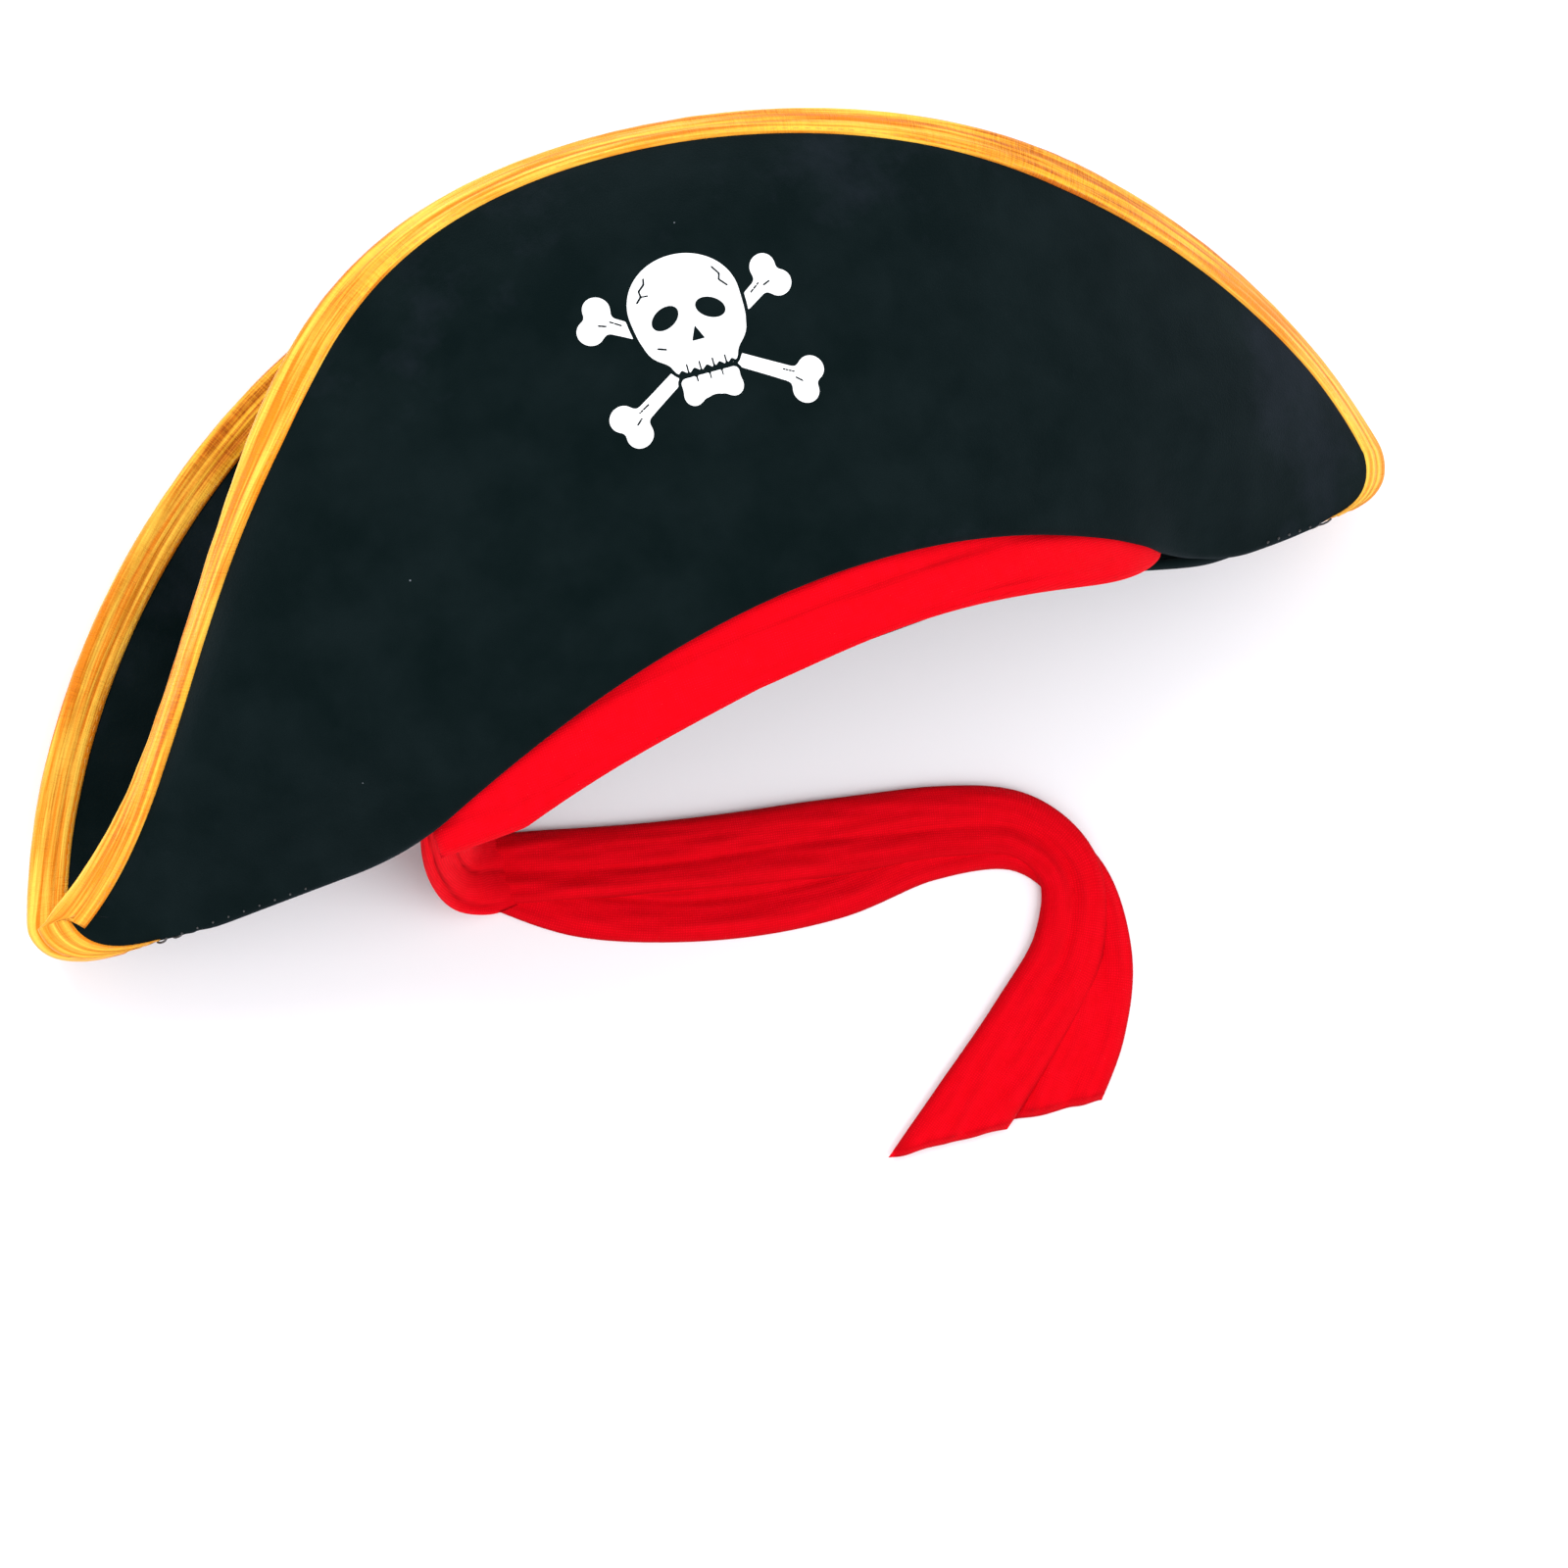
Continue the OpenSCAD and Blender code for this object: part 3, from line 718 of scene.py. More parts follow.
flap_cover(FRONT, "front_flap_outer", False, ["front_flap_velvet", "front_flap_foam"])
flap_cover(FRONT, "front_flap_inner", True, ["front_flap_facing"])
flap_cover(BACK, "back_flap_outer", False, ["back_flap_velvet", "back_flap_foam"])
flap_cover(BACK, "back_flap_inner", True, ["back_flap_facing"])
flap_binding(FRONT, "front_binding", "front_flap_binding")
back_tape = flap_binding(BACK, "back_binding", "back_flap_binding")
for vert in back_tape.data.vertices:
    vert.co.z = max(vert.co.z, TABLE_GAP)

# ---------------------------------------------------------------- crown


def hoop(name, profile, a, b, steps=180):
    """Closed ring round the crown's section. The profile is a closed list of (offset, y)."""
    verts, uvs, faces = [], [], []
    n = len(profile)
    along = 0.0
    for i in range(steps):
        turn = 2 * math.pi * i / steps
        for k, (offset, y) in enumerate(profile):
            x, z = lens_at(a + offset, b + offset, turn)
            verts.append((x, y, CROWN_Z + z))
            uvs.append((along, y if k < n / 2 else y + 0.2))
        x, z = lens_at(a, b, turn)
        x2, z2 = lens_at(a, b, turn + 2 * math.pi / steps)
        along += math.hypot(x2 - x, z2 - z)
        for k in range(n):
            m, j = (i + 1) % steps, (k + 1) % n
            faces.append((i * n + k, i * n + j, m * n + j, m * n + k))
    return face_outward(mesh_object(name, verts, faces, uvs))


def cup(name, profile, a, b, steps=180):
    """Closed shell from rings across the crown's axis. The profile is a list of (section share, y)."""
    rings, uvs = [], []
    for share, y in profile:
        ring, uv = [], []
        for i in range(steps):
            x, z = lens_at(a * share, b * share, 2 * math.pi * (i + 0.5) / steps)
            ring.append(Vector((x, y, CROWN_Z + z)))
            uv.append((x, z + y))
        rings.append(ring)
        uvs.append(uv)
    return loft(name, rings, uvs)


def crown_side_cover():
    """Velvet and foam wall of the crown, its lower edge turned out to the back flap."""
    thick = VELVET_T + FOAM_T + 0.1 * MM
    end = side_high.y
    outer, inner = [], []
    steps = 24
    for k in range(steps + 1):
        share = k / steps
        y = MOUTH_Y + (end - MOUTH_Y) * share
        full = -1.6 * MM * (1 - min(1, min(share, 1 - share) / 0.06)) ** 2
        outer.append((full, y))
        inner.append((-thick, y))
    side = hoop("crown_side", outer + inner[::-1], CROWN_A, CROWN_B, 200)
    turned_out, seam_height, blend_height = 4.5 * MM, 5 * MM, 8 * MM
    for vert in side.data.vertices:
        rise = (vert.co.y - MOUTH_Y) / seam_height
        lower = min(1, max(0, (CROWN_Z + blend_height - vert.co.z) / blend_height))
        if rise < 1 and lower:
            x, z = vert.co.x / CROWN_A ** 2, (vert.co.z - CROWN_Z) / CROWN_B ** 2
            vert.co += Vector((x, 0, z)).normalized() * (turned_out * lower * (1 - rise) ** 1.2)
    return side


def crown_top_cover():
    """Oval top of the crown, puffed over its foam, with a rounded rim."""
    low, high = side_high.y + 0.2 * MM, top_high.y
    profile = []
    for k in range(1, 12):
        share = k / 12
        profile.append((share, high + 2.2 * MM * (1 - share ** 4)))
    for k in range(9):
        turn = math.pi / 2 * k / 8
        profile.append((0.975 + 0.025 * math.sin(turn), high - 2.4 * MM * (1 - math.cos(turn))))
    profile.append((0.985, low))
    profile += [(share, low) for share in (0.9, 0.6, 0.3, 0.08)]
    return cup("crown_top", profile, CROWN_A, CROWN_B)


def crown_lining():
    """Thin lining of the wall and the top, in one shell."""
    wall, top, thin = MOUTH_Y + 0.5 * MM, side_high.y - 0.2 * MM, 0.5 * MM
    outer = [(share, top) for share in (0.08, 0.3, 0.6, 0.9, 0.98)]
    corner = top - 3 * MM
    outer += [(1.0, wall + (corner - wall) * k / 12) for k in range(12, -1, -1)]
    step_in = thin / INNER_A
    inner = [(share - step_in * (share > 0.95), max(y - thin, wall)) for share, y in outer]
    return cup("crown_lining", outer + inner[::-1], INNER_A, INNER_B)


def sweatband_tape():
    """Ribbed tape inside the mouth, a little thicker between its edges."""
    low, high, thick = sweat_low.y, sweat_high.y, 0.8 * MM
    steps = 14
    outer, inner = [], []
    for k in range(steps + 1):
        share = k / steps
        y = low + (high - low) * share
        swell = 0.5 * MM * math.sin(math.pi * share)
        outer.append((-0.05 * MM, y))
        inner.append((-thick - swell, y))
    return hoop("sweatband_tape", outer + inner[::-1], INNER_A - 0.6 * MM, INNER_B - 0.6 * MM, 200)


def label_ribbon():
    """Blank care label, sewn at its upper end and curling a little towards the mouth."""
    rings, uvs = [], []
    steps = 20
    for i in range(steps + 1):
        share = i / steps
        y = label_high.y - (label_high.y - label_low.y) * share
        lift = 2.6 * MM * share ** 2
        ring, uv = [], []
        for under in (0, 1):
            for k in range(9):
                across = k / 8 if not under else 1 - k / 8
                x = label_low.x + label_size.x * across
                bend = 0.5 * MM * math.sin(math.pi * across) * share
                ring.append(Vector((x, y, label_high.z + lift + bend - 0.25 * MM * under)))
                uv.append((x, y))
        rings.append(ring)
        uvs.append(uv)
    return loft("label_ribbon", rings, uvs)


use(crown_side_cover(), velvet, node=["crown_side_velvet", "crown_side_foam"])
use(crown_top_cover(), velvet, node=["crown_top_velvet", "crown_top_foam"])
use(crown_lining(), lining_cloth, node=["crown_side_lining", "crown_top_lining"])
use(sweatband_tape(), band_cloth, node="sweatband")
label = use(label_ribbon(), label_cloth, node="care_label")

# ---------------------------------------------------------------- print


def disc(p, centre, across, up=None):
    """Below 0 inside an oval."""
    up = up or across
    d = math.hypot((p[0] - centre[0]) / across, (p[1] - centre[1]) / up) - 1
    return d * min(across, up)


def block(p, centre, half, corner=0.0):
    """Below 0 inside a rounded block."""
    dx = abs(p[0] - centre[0]) - half[0] + corner
    dy = abs(p[1] - centre[1]) - half[1] + corner
    return math.hypot(max(dx, 0), max(dy, 0)) + min(max(dx, dy), 0) - corner


def stroke(p, points, width):
    """Below 0 inside a line through points."""
    best = 1e9
    for a, b in zip(points, points[1:]):
        abx, aby = b[0] - a[0], b[1] - a[1]
        t = ((p[0] - a[0]) * abx + (p[1] - a[1]) * aby) / (abx * abx + aby * aby)
        t = min(1, max(0, t))
        best = min(best, math.hypot(p[0] - a[0] - abx * t, p[1] - a[1] - aby * t))
    return best - width / 2


def joined(a, b, soft):
    """Union of two shapes with a fillet."""
    h = max(0, soft - abs(a - b)) / soft
    return min(a, b) - h * h * soft / 4


def head_outline(p):
    """Head without the lower jaw, in millimetres."""
    d = disc(p, (-1.4, 10.4), 16.8, 14.2)
    d = joined(d, block(p, (-0.6, 1), (14.6, 5.8), 5), 6)
    return joined(d, block(p, (0, -5.2), (9.6, 4.6), 2.6), 4)


def jaw_outline(p):
    """Lower jaw with two blunt points."""
    d = block(p, (0, -14.2), (8.6 + 0.1 * (p[1] + 14), 3.4), 1.8)
    d = joined(d, disc(p, (-6, -16.4), 2.7), 1.5)
    d = joined(d, disc(p, (6, -16.4), 2.7), 1.5)
    return max(d, -disc(p, (0, -19.2), 3.2, 2.0))


def skull_shape(p):
    """The printed skull: face, sockets, nose, teeth and cracks."""
    teeth = [(-9.5 + 1.9 * k, -9.6 + (0.8 if k % 2 else -0.8)) for k in range(11)]
    d = min(head_outline(p), jaw_outline(p))
    for side in (-1, 1):
        lean = side * 0.26 * (p[0] + 1.2 - side * 6.9)
        d = max(d, -disc((p[0], p[1] + lean), (side * 6.9 - 1.2, 7.3), 4.3, 3.1))
    nose = max(abs(p[0] + 0.3) * 0.9 + (p[1] - 3.4) * 0.42, -(p[1] + 0.9))
    d = max(d, -nose if p[1] < 4.4 else -9)
    d = max(d, -stroke(p, teeth, 0.9))
    for x in (-5.8, -2, 2, 5.8):
        d = max(d, -stroke(p, [(x, -7.0), (x, -9.6)], 0.55))
    for x in (-3.8, 0.2, 3.8):
        d = max(d, -stroke(p, [(x, -12.4), (x, -10.4)], 0.5))
    d = max(d, -stroke(p, [(-14.8, 13.5), (-13.2, 15.0), (-13.4, 16.6), (-11.4, 18.2), (-11.0, 19.8)], 0.6))
    d = max(d, -stroke(p, [(-13.2, 15.0), (-11.2, 14.8)], 0.5))
    d = max(d, -stroke(p, [(9.4, 18.4), (11.0, 16.0), (10.4, 14.4), (12.4, 12.2)], 0.6))
    return max(d, -stroke(p, [(-12.6, -0.6), (-10.2, -1.4)], 0.6))


BONE_DROP = 4
BONES = ((math.radians(-29.2), 73), (math.radians(31.9), 69.5))


def bone_shape(p, angle, length):
    """One bone with two knobs at each end, in millimetres."""
    c, s = math.cos(angle), math.sin(angle)
    q = (p[0] * c + (p[1] + BONE_DROP) * s, -p[0] * s + (p[1] + BONE_DROP) * c)
    slim = 2.0 + 0.7 * (abs(q[0]) / length * 2) ** 3
    d = block(q, (0, 0), (length / 2 - 4.0, slim), 0.5)
    for end in (-1, 1):
        for side in (-1, 1):
            d = joined(d, disc(q, (end * (length / 2 - 4.2), side * 3.3), 4.0, 3.7), 2.2)
        d = max(d, -stroke(q, [(end * (length / 2 - 5.8), -0.9), (end * (length / 2 - 8.0), -0.5)], 0.55))
        d = max(d, -stroke(q, [(end * (length / 2 - 8.6), 1.0), (end * (length / 2 - 12.4), 0.8)], 0.5))
    return d


def bones_shape(p):
    """Two crossed bones, kept clear of the head."""
    d = min(bone_shape(p, angle, length) for angle, length in BONES)
    return max(d, 1.0 - min(head_outline(p), jaw_outline(p)))


INK_TOP, INK_FOOT = 0.32 * MM, 0.04 * MM


def printed(name, shape, reach, cell=0.42):
    """Thin layer of ink with the shape's outline, laid on the front flap; reach and cell in millimetres."""
    nx, ny = int(2 * reach[0] / cell), int(2 * reach[1] / cell)
    level = [
        [shape((-reach[0] + i * cell, -reach[1] + j * cell)) for j in range(ny + 1)]
        for i in range(nx + 1)
    ]
    index, points, faces = {}, [], []

    def point(key, x, y):
        if key not in index:
            index[key] = len(points)
            points.append((x, y))
        return index[key]

    for i in range(nx):
        for j in range(ny):
            corners = [(i, j), (i + 1, j), (i + 1, j + 1), (i, j + 1)]
            values = [level[a][b] for a, b in corners]
            if min(values) >= 0:
                continue
            face = []
            for k in range(4):
                (a, b), (c, d) = corners[k], corners[(k + 1) % 4]
                va, vc = values[k], values[(k + 1) % 4]
                if va < 0:
                    face.append(point((a, b), -reach[0] + a * cell, -reach[1] + b * cell))
                if (va < 0) != (vc < 0):
                    t = min(0.98, max(0.02, va / (va - vc)))
                    low, high = sorted(((a, b), (c, d)))
                    x, y = a + (c - a) * t, b + (d - b) * t
                    face.append(point((low, high), -reach[0] + x * cell, -reach[1] + y * cell))
            if len(face) > 2:
                faces.append(tuple(face))
    turn = -PRINT_TURN
    verts, uvs = [], []
    for lift in (INK_TOP, INK_FOOT):
        for x, y in points:
            px = PRINT_X + (x * math.cos(turn) - y * math.sin(turn)) * MM
            py = PRINT_Y + (x * math.sin(turn) + y * math.cos(turn)) * MM
            verts.append(flap_point(FRONT, px, py, -lift))
            uvs.append((px, py))
    n = len(points)
    edges = {(f[k], f[(k + 1) % len(f)]) for f in faces for k in range(len(f))}
    walls = [(a, b, b + n, a + n) for a, b in edges if (b, a) not in edges]
    under = [tuple(v + n for v in reversed(f)) for f in faces]
    obj = mesh_object(name, verts, faces + under + [tuple(reversed(w)) for w in walls], uvs, smooth=False)
    shell = bmesh.new()
    shell.from_mesh(obj.data)
    bmesh.ops.recalc_face_normals(shell, faces=shell.faces)
    shell.to_mesh(obj.data)
    shell.free()
    return obj


use(printed("printed_skull", skull_shape, (20, 28)), ink, node="skull_print")
use(printed("printed_bones", bones_shape, (41, 27)), ink, node="crossbones_print")

# ---------------------------------------------------------------- sash


def along_route(points, share):
    """Point at a share of a route, on a smooth curve through its points."""
    last = len(points) - 1
    u = min(last - 1e-6, max(0.0, share * last))
    i = int(u)
    f = u - i
    a, b, c, d = points[max(0, i - 1)], points[i], points[i + 1], points[min(last, i + 2)]
    return b + 0.5 * f * ((c - a) + f * ((2 * a - 5 * b + 4 * c - d) + f * (3 * (b - c) + d - a)))


def soft_folds(across, along, seed, count, depth):
    """Height of lengthwise folds at a place across (-1 to 1) and along (metres) a strip."""
    drift = 0.45 * noise.noise(Vector((along * 14, seed, 0.3)))
    wave = 2 * abs(math.sin(math.pi * count * (across + drift) / 2)) ** 0.6 - 1
    fade = 0.55 + 0.45 * noise.noise(Vector((along * 20, seed + 4, across)))
    fine = 0.22 * noise.noise(Vector((along * 55, across * 4, seed)))
    return depth * (0.5 + 0.5 * wave * fade + fine)


def sash_band_cloth():
    """Sash round the front of the crown's mouth, in soft lengthwise folds, wider at the wearer's right."""
    first, last = math.radians(5), math.radians(154)
    steps, rows = 150, 28
    low, high = band_low.y, band_high.y
    rings, uvs = [], []
    along = 0.0
    before = None
    for i in range(steps + 1):
        share = i / steps
        turn = first + (last - first) * share
        x, z = lens_at(CROWN_A, CROWN_B, turn)
        place = Vector((x, 0, z))
        along += (place - before).length if before else 0
        before = place
        way = turn / math.pi
        drop = min(13 * MM, 10 * MM * max(0, (way - 0.55) / 0.171) ** 1.3)
        drop += 4.5 * MM * math.exp(-(((way - 0.184) / 0.12) ** 2))
        drop -= 4 * MM * math.exp(-(((way - 0.413) / 0.13) ** 2))
        drop += 0.9 * MM * noise.noise(Vector((along * 18, 2.2, 0)))
        y0 = low - drop
        close = min(1, share / 0.02, (1 - share) / 0.02) ** 0.5
        outer, inner, uv = [], [], []
        for k in range(rows + 1):
            v = k / rows
            y = y0 + (high - y0) * v
            edge = min(1, v / 0.05) ** 0.5
            fold = soft_folds(2 * v - 1, along, 5.5, 2.6, 2.6 * MM) * close * edge
            wide = SASH_ROOM + 0.5 * SASH_T + (0.5 * SASH_T * edge + fold) * close
            px, pz = lens_at(CROWN_A + wide, CROWN_B + wide, turn)
            outer.append(Vector((px, y, CROWN_Z + pz)))
            px, pz = lens_at(CROWN_A + SASH_ROOM, CROWN_B + SASH_ROOM, turn)
            inner.append(Vector((px, y, CROWN_Z + pz)))
            uv.append((along, y))
        rings.append(outer + inner[::-1])
        uvs.append(uv + uv[::-1])
    return loft("sash_band_cloth", rings, uvs), along


def strip_cloth(
    name, places, ways, widths, thick, seed, steps, count, depth, slant=0.0, fade=0.012, start=0.001
):
    """Cloth strip on a route of middle points, each with its way across and width; folds on one side."""
    rows = 30
    middle = [along_route(places, k / 400) for k in range(401)]
    lengths = [0.0]
    for a, b in zip(middle, middle[1:]):
        lengths.append(lengths[-1] + (b - a).length)
    total = lengths[-1]
    spans = [Vector((w, 0, 0)) for w in widths]

    def at(distance):
        """Place, direction, way across and half width at a distance, straight on past the end."""
        d = min(distance, total - 1e-6)
        k = next((i for i in range(400) if lengths[i + 1] >= d), 399)
        f = (d - lengths[k]) / max(1e-9, lengths[k + 1] - lengths[k])
        share = (k + f) / 400
        ahead = along_route(places, min(1, share + 0.012)) - along_route(places, max(0, share - 0.012))
        ahead.normalize()
        way = along_route(ways, share)
        way = (way - ahead * way.dot(ahead)).normalized()
        half = along_route(spans, share).x / 2
        return middle[k].lerp(middle[k + 1], f) + ahead * max(0, distance - d), ahead, way, half

    rings, uvs = [], []
    for i in range(steps + 1):
        share = i / steps
        upper, lower, uv = [], [], []
        for k in range(rows + 1):
            v = 2 * k / rows - 1
            ragged = 1.3 * MM * noise.noise(Vector((v * 2.1, seed, 0.7)))
            distance = share * (total + slant * (1 - v) + ragged)
            place, ahead, way, half = at(distance)
            half *= 1 + 0.05 * noise.noise(Vector((distance * 24, seed, 7 + math.copysign(2, v))))
            up = ahead.cross(way).normalized()
            roundness = math.sqrt(max(0, 1 - abs(v) ** 5))
            end = min(1, max(0, 1 - share) / fade + 0.25) * min(1, share / start + 0.2)
            rise = thick * 0.45 + (thick * 0.4 + soft_folds(v, distance, seed, count, depth)) * roundness
            edge = place + way * (v * half)
            upper.append(edge + up * rise * end)
            lower.append(edge + up * (0.08 * MM + 0.25 * thick * (1 - roundness)))
            uv.append((distance, v * half))
        rings.append(upper + lower[::-1])
        uvs.append(uv + uv[::-1])
    return loft(name, rings, uvs), total


def turn_points():
    """Gathered cloth from the band's end round and down to the table: places, ways across and widths."""
    # x, y and z in millimetres from the crown's end, the way across, and the width
    route = [
        (31, 7, 34, 0, -1, 0, 30),
        (23.5, 1, 24, 0.35, -0.9, 0, 24),
        (22, -8.5, 2, 0.85, -0.4, 0.2, 18),
        (24, -17.5, -28, 0.9, 0.35, 0.1, 19),
        (31, -24, -52, 0.6, 0.8, 0, 24),
        (40, -26.5, -62, 0.2, 1, 0, 27),
        (50, -28.5, -67, 0.05, 1, 0, 23),
    ]
    places = [Vector((r[0] * MM - CROWN_A, MOUTH_Y + r[1] * MM, CROWN_Z + r[2] * MM)) for r in route]
    return places, [Vector(r[3:6]) for r in route], [r[6] * MM for r in route]


def tail_points(offsets, z):
    """Route of a tail from the pivot, a little before it at first."""
    places = [PIVOT + Vector((x * MM, y * MM, z)) for x, y in offsets]
    ways = []
    for k in range(len(places)):
        ahead = (places[min(k + 1, len(places) - 1)] - places[max(k - 1, 0)]).normalized()
        ways.append(Vector((0, 0, 1)).cross(ahead))
    return places, ways


# each tail's middle line from the pivot, and its width at each point, in millimetres
UPPER_TAIL = [(-7, 2), (0, -2), (27, -10), (69, -21), (109, -30), (143, -37), (167, -47),
              (177, -66), (168, -88), (148, -105), (122, -123)]
UPPER_WIDTHS = [20, 21, 22, 23, 24, 23, 21, 21, 23, 25, 26]
LOWER_TAIL = [(-7, 4), (0, -2), (27, -22), (62, -36), (102, -43), (136, -43), (165, -50),
              (179, -69), (177, -93), (166, -114), (153, -128)]
LOWER_WIDTHS = [20, 20, 22, 22, 22, 21, 21, 21, 23, 24, 25]

band, band_length = sash_band_cloth()
use(band, red, node="sash_band")
turn_places, turn_ways, turn_widths = turn_points()
turned, turned_length = strip_cloth(
    "sash_turn_cloth", turn_places, turn_ways, turn_widths, 2.2 * MM, 1.7, 130, 2.6, 3.2 * MM, fade=0.2,
    start=0.12
)
use(turned, red, node="sash_turn")
for name, node, offsets, widths, z, seed, slant in (
    ("upper_tail_cloth", "upper_tail", UPPER_TAIL, UPPER_WIDTHS, SASH_T + 0.3 * MM, 2.9, 15 * MM),
    ("lower_tail_cloth", "lower_tail", LOWER_TAIL, LOWER_WIDTHS, 0.0, 6.3, 9 * MM),
):
    places, ways = tail_points(offsets, z)
    widths = [w * MM for w in widths]
    tail, tail_length = strip_cloth(name, places, ways, widths, SASH_T, seed, 220, 1.7, 3.0 * MM, slant)
    tail.data.materials.append(red)
    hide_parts(node)
    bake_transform(tail)

# ---------------------------------------------------------------- stitches


def stitch_row_group():
    """Geometry group that lays one short thread at each step along the lines it is given."""
    tree = bpy.data.node_groups.new("stitch_row", "GeometryNodeTree")
    face = tree.interface
    face.new_socket("Lines", in_out="INPUT", socket_type="NodeSocketGeometry")
    defaults = (("Spacing", 0.003), ("Length", 0.002), ("Radius", 0.0002), ("Turn", 0.0), ("Wander", 0.1))
    for label, value in defaults:
        socket = face.new_socket(label, in_out="INPUT", socket_type="NodeSocketFloat")
        socket.default_value = value
    socket = face.new_socket("Seed", in_out="INPUT", socket_type="NodeSocketInt")
    socket.default_value = 7
    face.new_socket("Thread", in_out="INPUT", socket_type="NodeSocketMaterial")
    face.new_socket("Geometry", in_out="OUTPUT", socket_type="NodeSocketGeometry")
    given, out = tree.nodes.new("NodeGroupInput"), tree.nodes.new("NodeGroupOutput")
    link = tree.links.new
    curve = tree.nodes.new("GeometryNodeMeshToCurve")
    link(given.outputs["Lines"], curve.inputs["Mesh"])
    steps = tree.nodes.new("GeometryNodeResampleCurve")
    steps.mode = "LENGTH"
    link(curve.outputs[0], steps.inputs["Curve"])
    link(given.outputs["Spacing"], steps.inputs["Length"])
    ball = tree.nodes.new("GeometryNodeMeshUVSphere")
    ball.inputs["Segments"].default_value = 8
    ball.inputs["Rings"].default_value = 6
    ball.inputs["Radius"].default_value = 0.5
    size = tree.nodes.new("ShaderNodeCombineXYZ")
    thick = tree.nodes.new("ShaderNodeMath")
    thick.operation = "MULTIPLY"
    thick.inputs[1].default_value = 2.0
    link(given.outputs["Radius"], thick.inputs[0])
    link(given.outputs["Length"], size.inputs[0])
    link(thick.outputs[0], size.inputs[1])
    link(thick.outputs[0], size.inputs[2])
    tangent = tree.nodes.new("GeometryNodeInputTangent")
    aim = tree.nodes.new("FunctionNodeAlignRotationToVector")
    aim.axis = "X"
    link(tangent.outputs[0], aim.inputs["Vector"])
    wander = tree.nodes.new("FunctionNodeRandomValue")
    wander.data_type = "FLOAT"
    low = tree.nodes.new("ShaderNodeMath")
    low.operation = "MULTIPLY"
    low.inputs[1].default_value = -1.0
    link(given.outputs["Wander"], low.inputs[0])
    floats = [s for s in wander.inputs if s.type == "VALUE"]
    link(low.outputs[0], floats[0])
    link(given.outputs["Wander"], floats[1])
    link(given.outputs["Seed"], wander.inputs["Seed"])
    total = tree.nodes.new("ShaderNodeMath")
    link(given.outputs["Turn"], total.inputs[0])
    link([s for s in wander.outputs if s.type == "VALUE"][0], total.inputs[1])
    spin = tree.nodes.new("ShaderNodeCombineXYZ")
    link(total.outputs[0], spin.inputs[2])
    turned_by = tree.nodes.new("FunctionNodeRotateRotation")
    turned_by.rotation_space = "LOCAL"
    link(aim.outputs[0], turned_by.inputs[0])
    link(spin.outputs[0], turned_by.inputs[1])
    lay = tree.nodes.new("GeometryNodeInstanceOnPoints")
    link(steps.outputs[0], lay.inputs["Points"])
    link(ball.outputs[0], lay.inputs["Instance"])
    link(turned_by.outputs[0], lay.inputs["Rotation"])
    link(size.outputs[0], lay.inputs["Scale"])
    real = tree.nodes.new("GeometryNodeRealizeInstances")
    link(lay.outputs[0], real.inputs[0])
    paint = tree.nodes.new("GeometryNodeSetMaterial")
    link(real.outputs[0], paint.inputs["Geometry"])
    link(given.outputs["Thread"], paint.inputs["Material"])
    link(paint.outputs[0], out.inputs[0])
    return tree


STITCH_ROW = stitch_row_group()


def stitches(name, lines, thread, node=None, slot=None, **numbers):
    """Threads along lines, each a list of points, made into one plain mesh."""
    verts, edges = [], []
    for line in lines:
        start = len(verts)
        verts += [tuple(p) for p in line]
        edges += [(start + k, start + k + 1) for k in range(len(line) - 1)]
    mesh = bpy.data.meshes.new(name + "_line")
    mesh.from_pydata(verts, edges, [])
    guide = bpy.data.objects.new(name + "_line", mesh)
    bpy.context.collection.objects.link(guide)
    modifier = guide.modifiers.new("stitches", "NODES")
    modifier.node_group = STITCH_ROW
    ids = {s.name: s.identifier for s in STITCH_ROW.interface.items_tree if s.in_out == "INPUT"}
    modifier[ids["Thread"]] = thread
    for label, value in numbers.items():
        modifier[ids[label]] = value
    guide.update_tag()
    bpy.context.view_layer.update()
    graph = bpy.context.evaluated_depsgraph_get()
    made = bpy.data.meshes.new_from_object(guide.evaluated_get(graph))
    made.name = name
    bpy.data.objects.remove(guide)
    made.polygons.foreach_set("use_smooth", [True] * len(made.polygons))
    obj = bpy.data.objects.new(name, made)
    bpy.context.collection.objects.link(obj)
    return use(obj, thread, node=node)


def hem_line(side, depth):
    """Line just inside the binding's hem, on the face at a depth."""
    line = []
    for rim, inward in edge_stations(side):
        p = rim + inward * (tape_reach(side, rim, inward) - 1.0 * MM)
        line.append(flap_point(side, p.x, p.y, depth))
    return line


def around_crown(offset, y, first=0.0, last=2 * math.pi, steps=200):
    points = []
    for k in range(steps + 1):
        x, z = lens_at(CROWN_A + offset, CROWN_B + offset, first + (last - first) * k / steps)
        points.append(Vector((x, y, CROWN_Z + z)))
    return points


def tip_threads():
    """One short line over the two flaps' sewn edge for each thread."""
    lines = []
    for end in (-1, 1):
        x = HALF_W - 30 * MM
        while x > ARCH_HALF * ARCH_END + max(0, end * ARCH_X[FRONT]) + 1 * MM:
            y = min(lower_y(FRONT, end * x), lower_y(BACK, end * x)) - 0.5 * MM
            z = keel_z(x)
            reach = FLAP_T + KEEL_GAP / 2
            line = []
            for t in (-1.6, -1.2, -0.8, -0.4, 0, 0.4, 0.8, 1.2, 1.6):
                px = end * x + 0.5 * MM * math.sin(t)
                line.append(Vector((px, y + 0.9 * MM * (t / 1.6) ** 2 * 0.6, z + reach * t / 1.6)))
            lines.append(line)
            x -= 4.5 * MM
    return lines


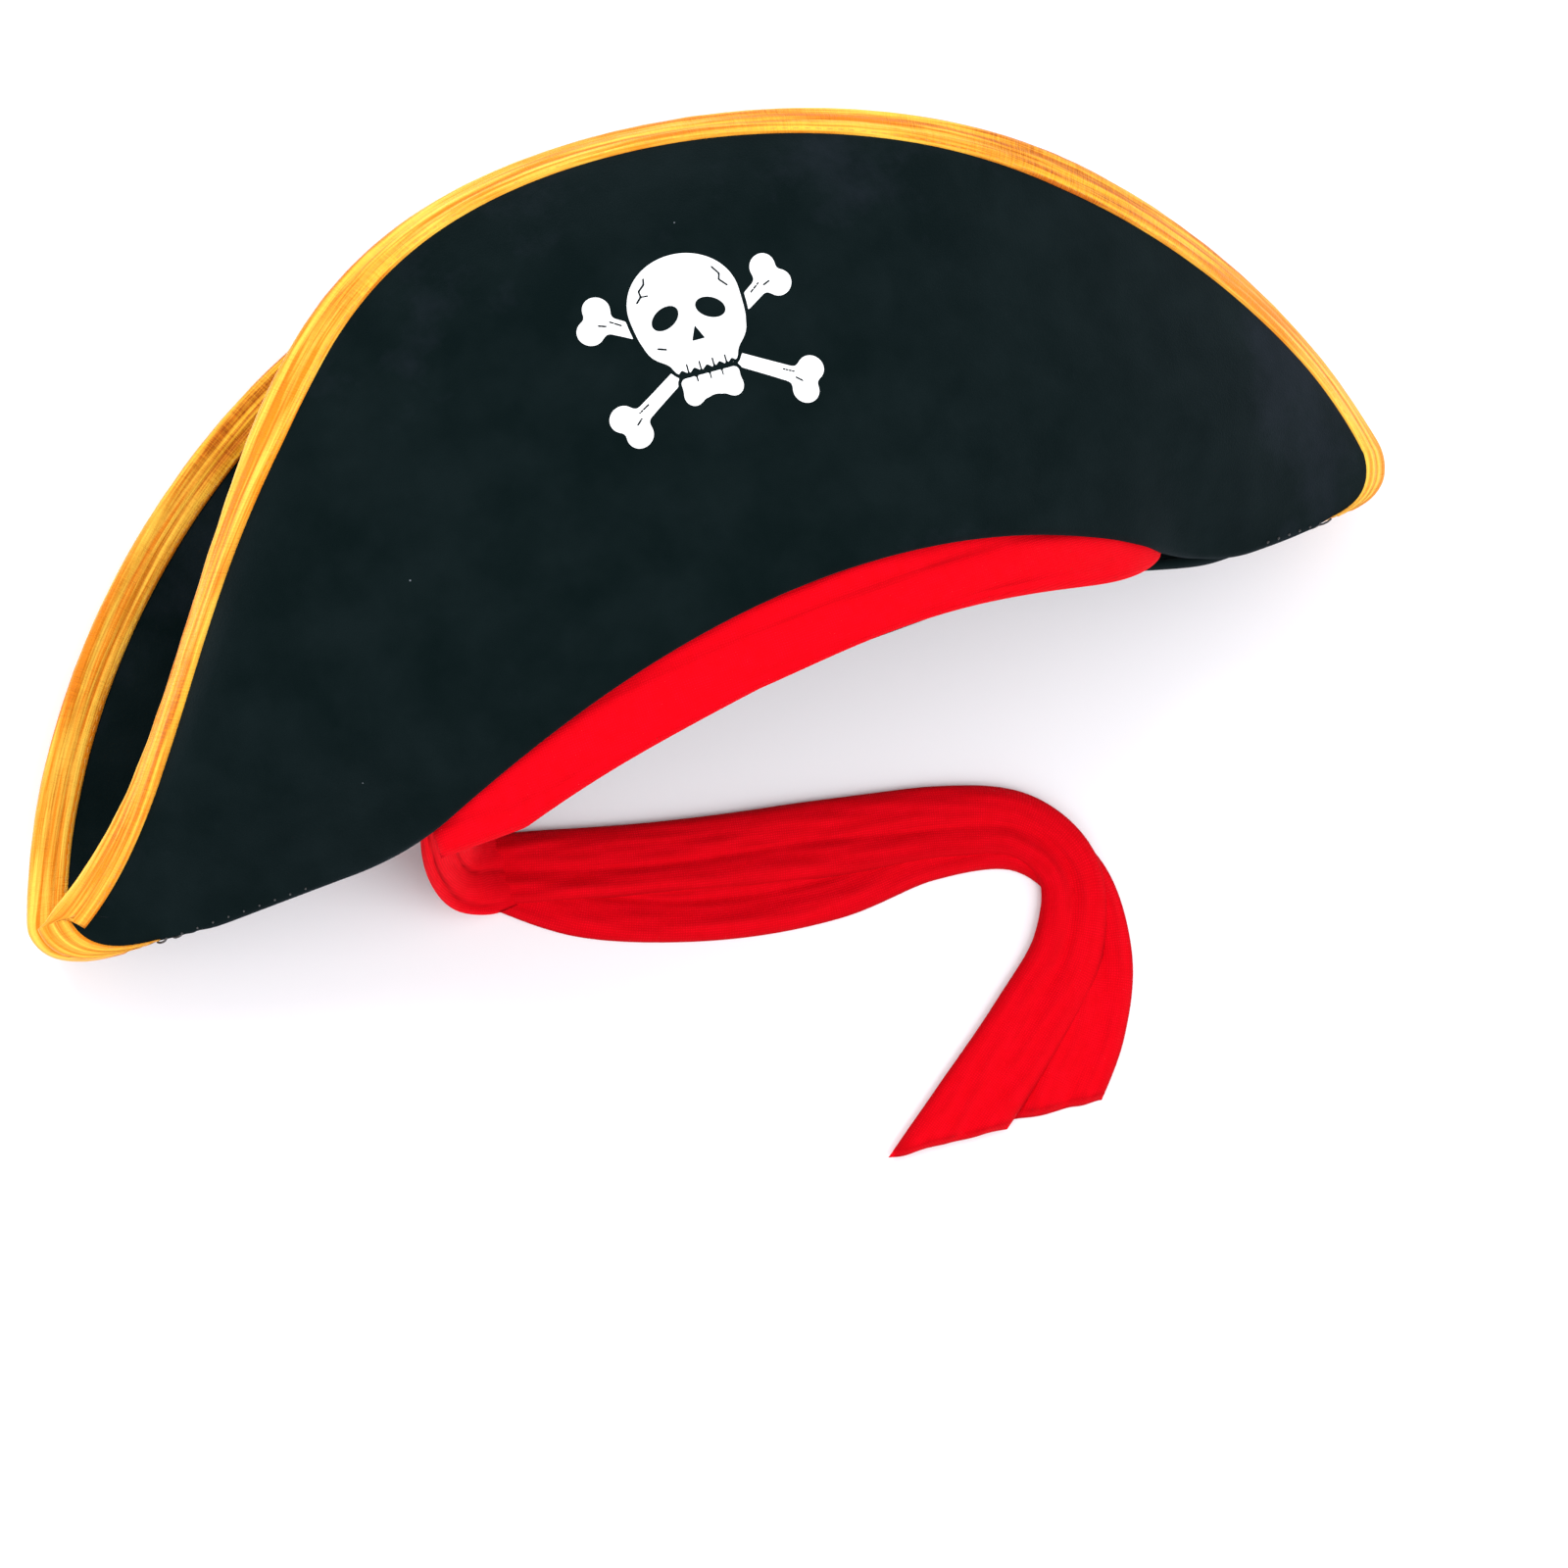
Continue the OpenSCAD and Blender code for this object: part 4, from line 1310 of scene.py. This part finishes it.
HEM = {"Spacing": 0.0034, "Length": 0.0023, "Radius": 0.00017}
stitches("front_hem_stitches", [hem_line(FRONT, -0.75 * MM)], gold_thread, **HEM)
stitches("back_hem_stitches", [hem_line(BACK, FLAP_T + 0.75 * MM)], gold_thread, **HEM)
stitches(
    "tip_whip_stitches", tip_threads(), black_thread, node="tip_stitches", slot="black_thread",
    Spacing=0.0009, Length=0.0014, Radius=0.00035, Wander=0.05
)
end_turn = math.radians(7.5)
end_out = SASH_ROOM + SASH_T + 0.6 * MM
end_x, end_z = lens_at(CROWN_A + end_out, CROWN_B + end_out, end_turn)
end_line = [Vector((end_x, band_low.y + 1 * MM + 30 * MM * k / 10, CROWN_Z + end_z)) for k in range(11)]
stitches(
    "sash_end_stitches", [end_line], red_thread, node="sash_stitches", slot="red_thread",
    Spacing=0.0036, Length=0.0024, Radius=0.0002
)
band_inner = INNER_A - CROWN_A - 1.6 * MM
sweatband_line = around_crown(band_inner, sweat_high.y - 1.5 * MM)
stitches("sweatband_stitches", [sweatband_line], black_thread, Spacing=0.004, Length=0.0026, Radius=0.0002)
seam_line = around_crown(-0.9 * MM, side_high.y - 1.2 * MM)
stitches(
    "crown_seam_stitches", [seam_line], black_thread, Spacing=0.003, Length=0.0016, Radius=0.00018, Turn=0.9
)

# ---------------------------------------------------------------- floor and light


def add_stage():
    floor = mesh_object("table", [(-3, -3, 0), (3, -3, 0), (3, 3, 0), (-3, 3, 0)], [(0, 1, 2, 3)])
    floor.data.materials.append(floor_material())
    return floor


def add_light(name, place, target, size, power, colour=(1, 1, 1)):
    data = bpy.data.lights.new(name, "AREA")
    data.shape = "DISK"
    data.size = size
    data.energy = power
    data.color = colour
    light = bpy.data.objects.new(name, data)
    bpy.context.collection.objects.link(light)
    light.location = place
    light.rotation_euler = (Vector(target) - Vector(place)).to_track_quat("-Z", "Y").to_euler()
    return light


add_stage()
middle = (0, 0.03, 0.05)
add_light("key", (-0.35, 1.25, 1.5), middle, 1.1, 17)
add_light("fill", (0.7, -0.9, 1.6), middle, 1.8, 11)
add_light("left", (-1.5, -0.1, 1.0), middle, 1.2, 4)

world = bpy.data.worlds.new("studio")
world.use_nodes = True
world.node_tree.nodes["Background"].inputs[0].default_value = (1, 1, 1, 1)
world.node_tree.nodes["Background"].inputs[1].default_value = 1.02
bpy.context.scene.world = world
bpy.context.scene.view_settings.view_transform = "Standard"
